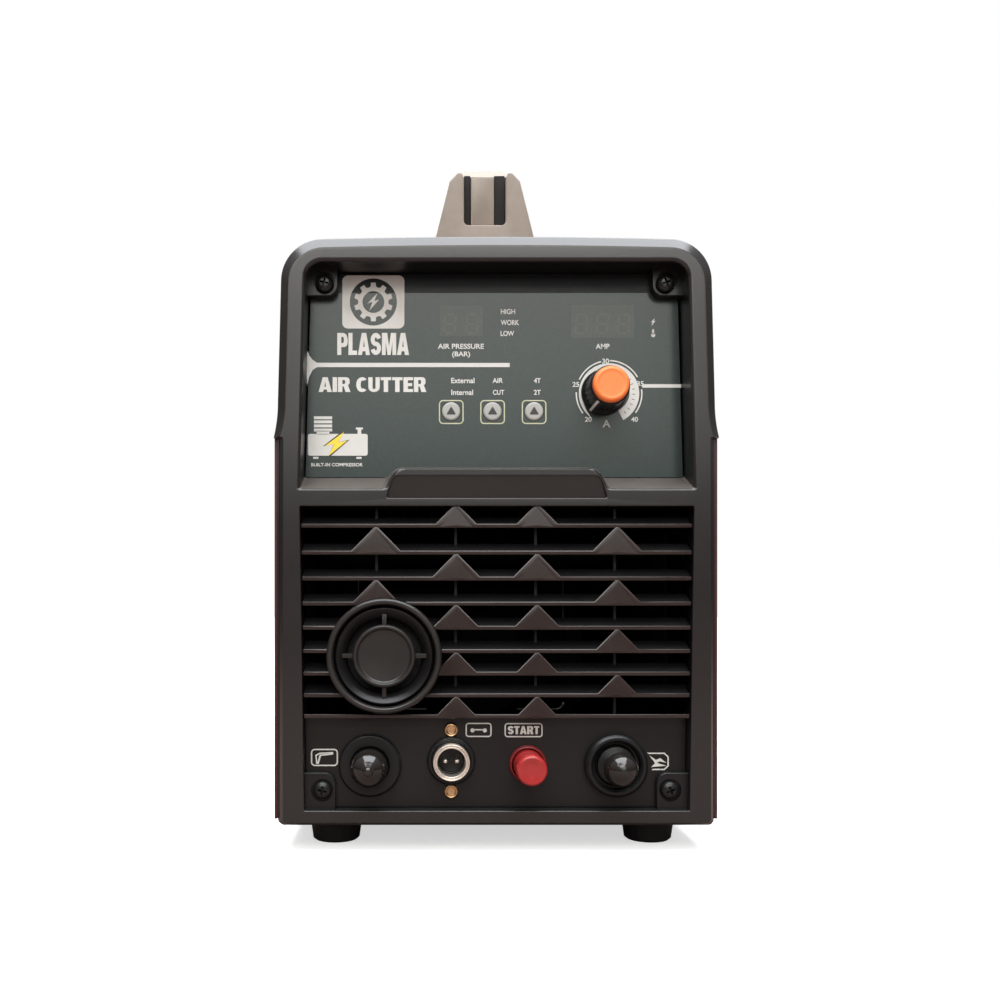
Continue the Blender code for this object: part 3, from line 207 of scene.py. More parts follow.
# ---------------------------------------------------------------- mesh tools
def shaded(mesh, angle=32):
    mesh.polygons.foreach_set("use_smooth", [True] * len(mesh.polygons))
    mesh.set_sharp_from_angle(angle=radians(angle))
    return mesh


def in_scene(name, data):
    obj = bpy.data.objects.new(name, data)
    bpy.context.scene.collection.objects.link(obj)
    return obj


def mesh_from(bm, name):
    mesh = bpy.data.meshes.new(name)
    bm.to_mesh(mesh)
    bm.free()
    return mesh


def evaluated(obj):
    """The mesh an object makes once its curve or modifiers are worked out."""
    bpy.context.view_layer.update()
    return bpy.data.meshes.new_from_object(obj.evaluated_get(bpy.context.evaluated_depsgraph_get()))


def add(name, mesh, material, body="case"):
    obj = in_scene(name, mesh)
    mesh.materials.clear()
    mesh.materials.append(material)
    if body:
        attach(obj, body)
    return obj


def look(node, mesh, material, body="case"):
    """The modelled piece that takes a CAD node's place and is named after it."""
    obj = add(f"{node}_look", mesh, material, body)
    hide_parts(node)
    return obj


def more_materials(mesh, materials, pick):
    """Further materials for a piece; pick gives each face its number."""
    for material in materials:
        mesh.materials.append(material)
    for face in mesh.polygons:
        face.material_index = int(pick(face))


def even_shading(obj):
    obj.modifiers.new("even", "WEIGHTED_NORMAL").keep_sharp = True


def loft_mesh(name, rings):
    """A closed solid through rings of equally many points, capped at both ends."""
    bm = bmesh.new()
    loops = [[bm.verts.new(p) for p in ring] for ring in rings]
    count = len(rings[0])
    for near, far in zip(loops, loops[1:]):
        for i in range(count):
            j = (i + 1) % count
            bm.faces.new((near[i], near[j], far[j], far[i]))
    bm.faces.new(loops[0])
    bm.faces.new(loops[-1])
    bmesh.ops.recalc_face_normals(bm, faces=bm.faces)
    return mesh_from(bm, name)


def rounded(points, radii, steps=4, closed=True):
    """A polyline with each corner replaced by an arc; radii is one number or one for each corner."""
    count = len(points)
    if not hasattr(radii, "__len__"):
        radii = [radii] * count
    out = []
    for i, (x, y) in enumerate(points):
        if radii[i] <= 0 or (not closed and i in (0, count - 1)):
            out.append((x, y))
            continue
        before = Vector(points[i - 1]) - Vector((x, y))
        after = Vector(points[(i + 1) % count]) - Vector((x, y))
        turn = before.angle(after)
        if turn > radians(177) or turn < 1e-4:
            out.append((x, y))
            continue
        back = radii[i] / tan(turn / 2)
        back = min(back, before.length * 0.499, after.length * 0.499)
        radius = back * tan(turn / 2)
        a, b = Vector((x, y)) + before.normalized() * back, Vector((x, y)) + after.normalized() * back
        centre = Vector((x, y)) + (
            before.normalized() + after.normalized()
        ).normalized() * hypot(radius, back)
        start, end = atan2(a.y - centre.y, a.x - centre.x), atan2(b.y - centre.y, b.x - centre.x)
        sweep = (end - start + pi) % (2 * pi) - pi
        for k in range(steps + 1):
            angle = start + sweep * k / steps
            out.append((centre.x + radius * cos(angle), centre.y + radius * sin(angle)))
    return out


def turned_mesh(name, profile, place, facing="front", steps=96):
    """A profile of (radius, height) spun about an axis through place; height runs the way it faces."""
    bm = bmesh.new()
    turn = {
        "front": Matrix.Rotation(radians(90), 4, "X"),
        "rear": Matrix.Rotation(radians(-90), 4, "X"),
        "up": Matrix.Identity(4),
    }[facing]
    to_place = Matrix.Translation(place) @ turn
    rings = []
    for radius, height in profile:
        if radius < 1e-6:
            rings.append([bm.verts.new(to_place @ Vector((0, 0, height)))])
            continue
        angles = [2 * pi * k / steps for k in range(steps)]
        rings.append(
            [bm.verts.new(to_place @ Vector((radius * cos(a), radius * sin(a), height))) for a in angles]
        )
    pairs = list(zip(rings, rings[1:]))
    if len(rings[0]) > 1:
        pairs.append((rings[-1], rings[0]))
    for near, far in pairs:
        for k in range(steps):
            j = (k + 1) % steps
            if len(near) == 1 and len(far) == 1:
                break
            if len(near) == 1:
                bm.faces.new((near[0], far[j], far[k]))
            elif len(far) == 1:
                bm.faces.new((near[k], near[j], far[0]))
            else:
                bm.faces.new((near[k], near[j], far[j], far[k]))
    bmesh.ops.recalc_face_normals(bm, faces=bm.faces)
    return shaded(mesh_from(bm, name))


def softened(profile, round_by):
    """A profile in millimetres, all its corners off the axis rounded a little."""
    profile = mm(profile)
    radii = [round_by if r > 1e-6 else 0 for r, h in profile]
    return rounded(profile, radii, 4, closed=profile[0][0] > 1e-6)


def turned(node, profile, place, material, round_by=0.25 * MM, body="case", steps=96):
    """A turned piece in a CAD node's place, from a profile in millimetres."""
    mesh = turned_mesh(f"{node}_look", softened(profile, round_by), place, steps=steps)
    return look(node, mesh, material, body)


def flat_mesh(name, outlines, plane, low, high, edge=0.0, edge_steps=2):
    """A flat outline with holes, given thickness and rounded edges. Planes: front is (x, z) from y low to
    high, side is (y, z) from x low to high, top is (x, y) from z low to high."""
    curve = bpy.data.curves.new(name, "CURVE")
    curve.dimensions = "2D"
    curve.fill_mode = "BOTH"
    curve.extrude = (high - low) / 2 - edge
    curve.bevel_depth = edge
    curve.bevel_resolution = edge_steps
    curve.offset = -edge
    for outline in outlines:
        spline = curve.splines.new("POLY")
        spline.points.add(len(outline) - 1)
        for point, (u, v) in zip(spline.points, outline):
            point.co = (u, v, 0, 1)
        spline.use_cyclic_u = True
    drawn = in_scene(name + "_drawn", curve)
    mesh = evaluated(drawn)
    bpy.data.objects.remove(drawn)
    bpy.data.curves.remove(curve)
    half = (low + high) / 2
    mesh.transform(
        {
            "front": Matrix.Translation((0, half, 0)) @ Matrix.Rotation(pi / 2, 4, "X"),
            "side": Matrix.Translation((half, 0, 0)) @ Matrix.Rotation(pi / 2, 4, "Z") @ Matrix.Rotation(
                pi / 2, 4, "X"
            ),
            "top": Matrix.Translation((0, 0, half)),
        }[plane]
    )
    bm = bmesh.new()
    bm.from_mesh(mesh)
    bmesh.ops.remove_doubles(bm, verts=bm.verts, dist=0.000004)
    bmesh.ops.recalc_face_normals(bm, faces=bm.faces)
    bm.to_mesh(mesh)
    bm.free()
    return mesh


def combined(name, target, others, operation="UNION"):
    """One mesh from a target and others, joined or cut by one exact Boolean."""
    base = in_scene(name, target)
    group = bpy.data.collections.new(name + "_tools")
    tools = []
    for k, other in enumerate(others):
        tool = bpy.data.objects.new(f"{name}_tool_{k}", other)
        group.objects.link(tool)
        tools.append(tool)
    bpy.context.scene.collection.children.link(group)
    modifier = base.modifiers.new("combine", "BOOLEAN")
    modifier.operation = operation
    modifier.solver = "EXACT"
    modifier.operand_type = "COLLECTION"
    modifier.collection = group
    mesh = evaluated(base)
    for obj in [base, *tools]:
        bpy.data.objects.remove(obj)
    bpy.data.collections.remove(group)
    return mesh


def joined(name, meshes):
    """Loose meshes gathered into one."""
    bm = bmesh.new()
    for other in meshes:
        bm.from_mesh(other)
    return mesh_from(bm, name)


def cut(name, target, others):
    return combined(name, target, others, "DIFFERENCE")


def box_outline(low, high, radius=0.0, steps=4):
    points = [(low[0], low[1]), (high[0], low[1]), (high[0], high[1]), (low[0], high[1])]
    return rounded(points, radius, steps) if radius else points


def block(name, x, y, z, edge=0.0):
    return flat_mesh(name, [box_outline((x[0], z[0]), (x[1], z[1]))], "front", y[0], y[1], edge, 2)


def crossed(make, angles, place=(0, 0, 0), axis="Y"):
    """Copies of a cutter at a place, one turned to each angle."""
    tools = []
    for angle in angles:
        tool = make()
        tool.transform(Matrix.Translation(place) @ Matrix.Rotation(radians(angle), 4, axis))
        tools.append(tool)
    return tools


def circle(centre, radius, steps=64):
    angles = [2 * pi * k / steps for k in range(steps)]
    return [(centre[0] + radius * cos(a), centre[1] + radius * sin(a)) for a in angles]


def at_y(outline, y):
    return [(x, y, z) for x, z in outline]


def mirrored(right):
    """A closed outline from its right half, listed from the bottom up."""
    return right + [(-x, z) for x, z in reversed(right) if x > 1e-7]


# ---------------------------------------------------------------- case sections
WING_Z = 188.5 * MM
WING_RUN = 16 * MM


def case_outline(low, wing, waist, shoulder, bottom, top, corner):
    """The section of the case seen from the front: half widths below the wing, at it, above it and under the
    top corners, then the bottom, the top beside the crown and the corner radius."""
    right = []
    for k in range(5):
        angle = radians(-90 + 22.5 * k)
        right.append((low - 2 * MM + 2 * MM * cos(angle), bottom + 2 * MM + 2 * MM * sin(angle)))
    right += [(low, WING_Z - 8 * MM), (low, WING_Z - 0.6 * MM), (wing, WING_Z)]
    for k in range(1, 13):
        t = k / 12
        right.append((waist + (wing - waist) * (1 - t) ** 2, WING_Z + WING_RUN * t))
    for k in range(17):
        angle = radians(90 * k / 16)
        right.append((shoulder - corner + corner * cos(angle), top - corner + corner * sin(angle)))
    flat = shoulder - corner
    for k in range(1, 7):
        x = flat * (1 - k / 6)
        right.append((x, top + CROWN * (1 - (x / flat) ** 2)))
    return mirrored(right)


LIP_EDGE = dict(low=98.3 * MM, wing=101.0 * MM, waist=99.1 * MM, shoulder=97.7 * MM, corner=19.0 * MM)
LIP_BACK = dict(low=99.4 * MM, wing=101.3 * MM, waist=99.1 * MM, shoulder=97.7 * MM, corner=19.0 * MM)
LIP_FACE = dict(low=96.4 * MM, wing=97.8 * MM, waist=95.4 * MM, shoulder=94.0 * MM, corner=16.0 * MM)
SPIGOT = dict(low=99.5 * MM, wing=99.5 * MM, waist=96.5 * MM, shoulder=95.1 * MM, corner=17.1 * MM)
COVER = dict(low=COVER_HALF, wing=COVER_HALF, waist=98.0 * MM, shoulder=96.6 * MM, corner=18.6 * MM)
SHEET = 1.2 * MM
LIP_DEPTH = 6 * MM
CHAMFER_DEPTH = 3.2 * MM


def bezel_blank(name, front, towards_back):
    """The lip with its crisp chamfer, and the spigot behind it."""
    face = case_outline(bottom=BEZEL_BOTTOM + 1.6 * MM, top=BEZEL_TOP - 4.9 * MM, **LIP_FACE)
    edge = case_outline(bottom=BEZEL_BOTTOM, top=BEZEL_TOP, **LIP_EDGE)
    widest = case_outline(bottom=BEZEL_BOTTOM, top=BEZEL_TOP, **LIP_BACK)
    inner = case_outline(
        bottom=COVER_LOW.z + 0.2 * MM, top=COVER_HIGH.z - CROWN - SHEET - 0.3 * MM, **SPIGOT
    )
    section = [(1.25, 0), (1.06, 0), (1.0, 0.05 * MM), (0.95, 0.22 * MM)]
    section += [(0.10, CHAMFER_DEPTH * 0.90), (0.04, CHAMFER_DEPTH * 0.985), (0, CHAMFER_DEPTH * 1.12)]
    rings = []
    for share, depth in section:
        ring = [(b[0] + (a[0] - b[0]) * share, b[1] + (a[1] - b[1]) * share) for a, b in zip(face, edge)]
        rings.append(at_y(ring, front + depth * towards_back))
    rings.append(at_y(widest, front + LIP_DEPTH * towards_back))
    lip = loft_mesh(name, rings)
    behind = front + SPIGOT_DEPTH * towards_back
    start = front + (LIP_DEPTH - 1 * MM) * towards_back
    spigot = loft_mesh(name + "_spigot", [at_y(inner, start), at_y(inner, behind)])
    return combined(name, lip, [spigot])


SILL_FRONT = 164.8 * MM
SILL_BACK = 171.8 * MM
SILL_SHARE = 0.85
HUMP_FRONT = 174.2 * MM
HUMP_BACK = 176.6 * MM
RECESS_TOP = 267.4 * MM


def recess_outline(share, out=0.0):
    """The control recess at a share of its depth, with the sill's raised middle, grown by out."""
    climb = min(share / SILL_SHARE, 1)
    sill = SILL_FRONT + (SILL_BACK - SILL_FRONT) * climb - 0.4 * out
    hump = HUMP_FRONT + (HUMP_BACK - HUMP_FRONT) * climb - 0.4 * out
    low_half, top_half, top = 88.7 * MM + out, 86.2 * MM + out, RECESS_TOP + out
    hump_top, hump_foot = 45.6 * MM - out, 50.4 * MM - out
    corners = [(0, hump), (hump_top, hump), (hump_foot, sill), (low_half, sill), (top_half, top), (0, top)]
    radii = [0, 5.5 * MM, 4.0 * MM, 1.2 * MM, 7.5 * MM + out, 0]
    return mirrored(rounded(corners, radii, 7, closed=False))


LOWER_BOTTOM = PANEL_LOW.z - 0.3 * MM
GRILLE_TOP = 157.1 * MM


def opening_outline(out=0.0):
    low, high = 86.8 * MM + out, 88.8 * MM + out
    corners = [(low, LOWER_BOTTOM - out), (high, GRILLE_TOP + out)]
    return mirrored(rounded([(0, LOWER_BOTTOM - out), *corners, (0, GRILLE_TOP + out)], 0.6 * MM, 3, False))


def flared(name, outline_at, mouth, past):
    """A cutter for an opening with a rounded mouth of radius mouth: outline_at(depth, out)."""
    depths = [-1 * MM]
    outs = [mouth * 1.02]
    for k in range(6):
        angle = radians(90 * k / 5)
        depths.append(mouth * (1 - cos(angle)) if k else 0.0)
        outs.append(mouth * (1 - sin(angle)))
    depths[1] = 0.0
    rings = []
    for depth, out in zip(depths + [SILL_SHARE * SPIGOT_DEPTH, past], outs + [0.0, 0.0]):
        rings.append(at_y(outline_at(max(depth, 0), out), FRONT + depth))
    return loft_mesh(name, rings)


def pocket_cutter():
    """The shallow pocket in the sill's raised middle, deepest at its bottom, with a softened mouth."""
    outline = mm([(-49.6, 160.8), (49.6, 160.8), (46.2, 171.2), (-46.2, 171.2)])
    outline = rounded(outline, [0.8 * MM, 0.8 * MM, 4.5 * MM, 4.5 * MM], 5)

    def grown(across, down):
        return [(x * across, z - (down if z < 167 * MM else 0)) for x, z in outline]

    lip = grown(1.018, 0.55 * MM)
    floor = [
        (x, FRONT + max((171.8 * MM - z) / (11 * MM) * 2.0 * MM, 0.0) + 0.3 * MM, z) for x, z in outline
    ]
    half_lip = at_y(grown(1.006, 0.18 * MM), FRONT + 0.2 * MM)
    return loft_mesh("pocket", [at_y(lip, FRONT - 1 * MM), at_y(lip, FRONT), half_lip, floor])


def front_bezel():
    name, past = "front_bezel_look", SPIGOT_DEPTH + 1 * MM
    recess = flared("recess", lambda d, out: recess_outline(d / SPIGOT_DEPTH, out), 1.8 * MM, past)
    lower = flared("lower", lambda d, out: opening_outline(out), 0.5 * MM, past)
    mesh = bezel_blank(name, FRONT, 1)
    for tool in (recess, lower, pocket_cutter()):
        mesh = cut(name, mesh, [tool])
    pads, bores = [], []
    bore = mm([(0, 4), (5.4, 4), (5.1, -0.4), (5.1, -1.6), (2.5, -1.6), (2.5, -12), (0, -12)])
    for side in (-1, 1):
        for row in ("upper", "lower"):
            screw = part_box(f"bezel_screw_{row}_{'left' if side < 0 else 'right'}")
            x, z = (screw[0].x + screw[1].x) / 2, (screw[0].z + screw[1].z) / 2
            front = screw[0].y + 2 * MM
            if row == "upper":
                low, high = (x - side * 6.1 * MM, z - 5.9 * MM), (side * 88.6 * MM, RECESS_TOP + 3 * MM)
                back, radii = FILM_DEPTH, [5 * MM, 0, 0, 0]
            else:
                low, high = (x - side * 6.0 * MM, LOWER_BOTTOM - 2 * MM), (side * 90 * MM, z + 7.9 * MM)
                back, radii = CONNECTOR_DEPTH, [0, 0, 0, 5 * MM]
            outline = rounded(box_outline(low, high), radii, 8)
            pads.append(flat_mesh("pad", [outline], "front", front, FRONT + back, 0.5 * MM))
            bores.append(turned_mesh("bore", bore, (x, front, z), steps=40))
    mesh = cut(name, combined(name, mesh, pads), bores)

    def region(face):
        """0 for the outside, 1 for the walls of the two recesses (painted shade), 2 for the sill (painted
        light).
        """
        within = abs(face.center.x) < 88.9 * MM and LOWER_BOTTOM < face.center.z < RECESS_TOP + 0.4 * MM
        on_sill = face.normal.z > 0.5 and 160 * MM < face.center.z < 180 * MM
        inside = within and face.center.y > FRONT + (0.7 if on_sill else 2.2) * MM
        return (2 if on_sill else 1) if inside else 0

    bezel = look("front_bezel", shaded(mesh, 24), BLACK)
    # Painted shade on the recess walls and painted light on the sill, both on the bezel's one black plastic.
    more_materials(mesh, (RECESS_PAINTED_SHADE, SILL), region)
    even_shading(bezel)


# ---------------------------------------------------------------- grille
SLAT_FACE = 1.9 * MM
SLAT_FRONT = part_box("front_grille")[0].y + 0.1 * MM
INNER_COLUMN = 18.3 * MM
OUTER_COLUMN = 54.5 * MM
FIRST_SLAT = 149.3 * MM
FIRST_PITCH = 12.15 * MM
PITCH_RATIO = 0.965
SLAT_COUNT = 9


def slat_heights():
    heights = [FIRST_SLAT]
    for row in range(SLAT_COUNT - 1):
        heights.append(heights[-1] - FIRST_PITCH * PITCH_RATIO**row)
    return heights


def opening_half(z):
    return (86.8 + 2.0 * (z - LOWER_BOTTOM) / (GRILLE_TOP - LOWER_BOTTOM)) * MM


def ridge(x, z, rise):
    """The shallow ridge on a slat's triangle."""
    half, foot, top = rise - 1.5 * MM, z - SLAT_FACE + 0.5 * MM, z + rise - 1.3 * MM
    back = SLAT_FRONT + 0.8 * MM
    bm = bmesh.new()
    for point in (
        (x - half, SLAT_FRONT, foot),
        (x + half, SLAT_FRONT, foot),
        (x, SLAT_FRONT, top),
        (x, SLAT_FRONT - 0.4 * MM, foot + 0.6 * MM),
        (x - half, back, foot),
        (x + half, back, foot),
        (x, back, top),
    ):
        bm.verts.new(point)
    bmesh.ops.convex_hull(bm, input=bm.verts)
    return mesh_from(bm, "ridge")


def front_grille():
    """Slats whose front band rises into triangles, each with a shallow ridge, tied by ribs behind them."""
    pieces = []
    heights = slat_heights()
    tip, spread = 0.8 * MM, 0.6 * MM
    for row, z in enumerate(heights):
        low = z - SLAT_FACE
        half = opening_half(low) - 0.3 * MM
        above = heights[row - 1] - SLAT_FACE if row else GRILLE_TOP + 0.6 * MM
        rise = above - z + 0.3 * MM
        columns = (-INNER_COLUMN, INNER_COLUMN) if row % 2 == 0 else (-OUTER_COLUMN, OUTER_COLUMN)
        columns = [x for x in columns if not (x < -OUTER_COLUMN / 2 and row > 4)]
        outline = [(-half, low), (half, low), (half, z)]
        for x in reversed(columns):
            outline += [
                (x + rise + spread, z), (x + tip, z + rise), (x - tip, z + rise), (x - rise - spread, z)
            ]
        outline.append((-half, z))
        pieces.append(
            flat_mesh(f"band_{row}", [outline], "front", SLAT_FRONT, SLAT_FRONT + 2.2 * MM, 0.5 * MM, 3)
        )
        if row < SLAT_COUNT - 1:
            near, far = SLAT_FRONT + 1.2 * MM, SLAT_FRONT + 8.3 * MM
            fin = [
                (near, low + 0.25 * MM), (far, low + 3.7 * MM), (far, z + 3.5 * MM), (near, z - 0.3 * MM)
            ]
            pieces.append(flat_mesh(f"fin_{row}", [fin], "side", -half + 0.2 * MM, half - 0.2 * MM))
        pieces += [ridge(x, z, rise) for x in columns]
    bottom, top = heights[-1] - SLAT_FACE + 0.2 * MM, GRILLE_TOP - 0.5 * MM
    for x in (-OUTER_COLUMN, -INNER_COLUMN, INNER_COLUMN, OUTER_COLUMN):
        rib = (x - 0.6 * MM, x + 0.6 * MM)
        pieces.append(block("rib", rib, (FRONT + 8.0 * MM, FRONT + 13.0 * MM), (bottom, top)))
    mesh = combined("front_grille_look", pieces[0], pieces[1:])
    place = middle("intake_ring")
    reach = radius_of("intake_ring") + 0.25 * MM
    profile = [(0, 10 * MM), (reach, 10 * MM), (reach, -20 * MM), (0, -20 * MM)]
    mesh = cut("front_grille_look", mesh, [turned_mesh("hole", profile, (place.x, FRONT, place.z))])
    look("front_grille", shaded(mesh, 28), GRILLE_BLACK)
    # Painted shade: the faces behind the front bands take the darker fin colour.
    more_materials(mesh, [FIN_PAINTED_SHADE], lambda face: face.center.y > SLAT_FRONT + 1.0 * MM)


def air_intake():
    """The intake's rolled rim, its conical inner ring and its dished cap on four spokes."""
    ring, cap = middle("intake_ring"), middle("intake_cap")
    outer = radius_of("intake_ring") / MM
    rim = [
        (23.0, -0.9), (23.6, 0), (outer - 0.8, 0), (outer, -0.9), (outer, -17.4), (22.8, -17.4),
        (22.8, -1.6),
    ]
    place = (ring.x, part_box("intake_ring")[0].y, ring.z)
    turned("intake_ring", rim, place, CAP_BLACK, 0.7 * MM, steps=128)
    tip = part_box("intake_cap")[0].y
    place = (cap.x, tip, cap.z)
    cone = mm([(21.3, -1.6), (22.5, -3.2), (22.5, -9.9), (17.0, -9.9), (16.8, -5.6), (17.4, -4.6)])
    cone = turned_mesh("cone", rounded(cone, 0.3 * MM, 3), place, steps=128)
    # Painted shade: the cone is darker than the rim and cap.
    add("intake_cone", cone, INTAKE_PAINTED_SHADE)
    dish = mm([(0, -1.5), (11.6, -1.5), (12.5, 0), (13.5, 0), (14.1, -0.9), (14.1, -9.9), (0, -9.9)])
    dish = rounded(dish, [0, 0.8 * MM, 0.4 * MM, 0.4 * MM, 0.5 * MM, 0, 0], 4, False)
    x, z, half = cap.x, cap.z, 1.0 * MM
    level, upright = (tip + 2.8 * MM, tip + 5.2 * MM), (tip + 2.9 * MM, tip + 5.3 * MM)
    spokes = [
        block("spoke", (x - 19 * MM, x + 19 * MM), level, (z - half, z + half), 0.2 * MM),
        block("spoke", (x - half, x + half), upright, (z - 18.8 * MM, z + 18.8 * MM), 0.2 * MM),
    ]
    mesh = combined("intake_cap_look", turned_mesh("dish", dish, place, steps=128), spokes)
    look("intake_cap", shaded(mesh, 30), CAP_BLACK)


# ---------------------------------------------------------------- connectors
def connectors():
    torch, work = middle("torch_flange"), middle("work_flange")
    face = PANEL_LOW.y
    place = (torch.x, face, torch.z)
    flange = [(8.8, 3.0), (13.4, 3.0), (14.3, 2.1), (14.3, 0), (9.5, 0), (9.5, -12.0), (6.6, -12.0)]
    flange += [(6.6, 1.2), (8.8, 1.2)]
    turned("torch_flange", flange, place, SOCKET_BLACK, 0.4 * MM)
    tip = (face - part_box("torch_dust_cap")[0].y) / MM
    dome = [(0, tip), (1.0, tip), (1.9, tip - 0.4), (2.3, tip - 1.2)]
    for k in range(1, 11):
        angle = radians(16 + 74 * k / 10)
        dome.append((8.4 * sin(angle), tip - 1.2 - 8.6 * (1 - cos(angle)) + 0.2))
    dome += [(8.4, 1.6), (5.9, 1.6), (5.9, 10.4), (0, 10.4)]
    turned("torch_dust_cap", dome, place, VINYL, body="torch_cap")
    place = (work.x, face, work.z)
    flange = [
        (11.8, 6.2), (13.0, 6.2), (14.2, 5.0), (14.2, 0), (9.5, 0), (9.5, -12.0), (6.8, -12.0), (6.8, 1.0)
    ]
    flange += [(9.0, 1.0), (9.4, 1.8), (10.8, 1.9), (10.8, 5.2)]
    turned("work_flange", flange, place, SOCKET_BLACK, 0.4 * MM)
    tip = (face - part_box("work_dust_plug")[0].y) / MM
    ball = 7.6
    plug = [(ball * sin(radians(a)), tip - ball + ball * cos(radians(a))) for a in range(0, 127, 9)]
    plug += [
        (5.0, tip - ball - 5.4), (4.9, 4.6), (8.5, 4.0), (8.5, 1.9), (4.3, 1.6), (4.3, -15.0), (0, -15.0)
    ]
    obj = turned("work_dust_plug", plug, place, VINYL, 0.2 * MM, "work_plug")
    more_materials(obj.data, [SOCKET_BLACK], lambda part: part.center.y > face - 5.0 * MM)


def switch_socket():
    centre = middle("switch_socket_shell")
    x, face, z = place = (centre.x, PANEL_LOW.y, centre.z)
    shell = [(6.3, 6.2), (6.5, 6.9), (7.1, 6.9), (7.3, 6.3), (7.5, 6.3), (7.7, 7.2), (8.2, 7.2), (8.4, 6.8)]
    for k in range(5):
        shell += [(8.15, 6.2 - 0.9 * k), (8.4, 5.75 - 0.9 * k)]
    shell += [(8.0, 1.0), (8.0, -14.0), (6.3, -14.0)]
    turned("switch_socket_shell", shell, place, NICKEL, 0.15 * MM)
    ring = [(8.9, 2.2), (10.2, 2.2), (11.0, 1.5), (11.0, 0), (8.9, 0)]
    turned("switch_socket_flange", ring, place, SOCKET_BLACK, 0.4 * MM)
    disc = mm([(0, -2.0), (5.3, -2.0), (5.5, -1.2), (6.1, -1.2), (6.1, -15.0), (0, -15.0)])
    disc = turned_mesh("disc", rounded(disc, 0.15 * MM, 3, False), place, steps=64)
    across, deep, up = (x - 0.8 * MM, x + 0.8 * MM), (
        face - 4.5 * MM, face + 3 * MM
    ), (z + 5.5 * MM, z + 6.2 * MM)
    mesh = combined("switch_socket_insert_look", disc, [block("key", across, deep, up)])
    look("switch_socket_insert", shaded(mesh), SOCKET_BLACK)
    pin = softened([(0, 2.6), (0.7, 2.5), (1.0, 2.0), (1.0, -4.0), (0, -4.0)], 0.2 * MM)
    for side, name in ((-1, "socket_pin_left"), (1, "socket_pin_right")):
        add(name, turned_mesh(name, pin, (x + side * 2.7 * MM, face, z), steps=32), NICKEL)
    head = [
        (0, 0.2), (1.8, 0.2), (2.2, 1.4), (2.7, 1.6), (3.4, 0.7), (3.4, 0), (1.5, 0), (1.5, -7.0), (0, -7.0)
    ]
    head = softened(head, 0.3 * MM)
    slot_size = mm([(-1.6, 1.6), (-2, -0.1), (-0.3, 0.3)])
    for node in ("socket_screw_upper", "socket_screw_lower"):
        spot = (middle(node).x, face, middle(node).z)
        slots = crossed(lambda: block("slot", *slot_size), (20, 110), spot)
        mesh = cut(f"{node}_look", turned_mesh("head", head, spot, steps=48), slots)
        look(node, shaded(mesh), BRASS)


def start_button():
    centre = middle("start_button_collar")
    place = (centre.x, PANEL_LOW.y, centre.z)
    collar = [(7.2, 2.4), (7.5, 3.0), (8.0, 3.0), (8.6, 1.8), (8.6, 0), (7.5, 0), (7.5, -20.0), (0, -20.0)]
    collar += [(0, -12.0), (7.2, -12.0)]
    turned("start_button_collar", collar, place, DARK_RED, 0.3 * MM)
    tip = (PANEL_LOW.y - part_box("start_button_cap")[0].y) / MM
    cap = [
        (0, tip - 0.5), (3.0, tip - 0.4), (5.6, tip), (6.3, tip - 0.2), (6.9, tip - 1.3), (6.9, -7.0),
        (0, -7.0),
    ]
    turned("start_button_cap", cap, place, RED, 0.5 * MM, "start_button")


# ---------------------------------------------------------------- fasteners
def bezel_screws():
    head = [
        (0, 2.0), (2.2, 1.8), (3.6, 1.0), (4.3, -0.4), (4.3, -1.3), (2.1, -1.3), (2.1, -12.0), (0, -12.0)
    ]
    head = softened(head, 0.5 * MM)
    wide = at_y(box_outline((-2.5 * MM, -0.55 * MM), (2.5 * MM, 0.55 * MM)), -3 * MM)
    narrow = at_y(box_outline((-1.1 * MM, -0.3 * MM), (1.1 * MM, 0.3 * MM)), 0.6 * MM)
    for side, turn in (("left", 12), ("right", -20)):
        for row in ("upper", "lower"):
            node = f"bezel_screw_{row}_{side}"
            place = (middle(node).x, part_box(node)[0].y + 2 * MM, middle(node).z)
            cross = crossed(lambda: loft_mesh("blade", [wide, narrow]), (turn, turn + 90), place)
            mesh = cut(f"{node}_look", turned_mesh("head", head, place, steps=48), cross)
            look(node, shaded(mesh), DARK_STEEL)


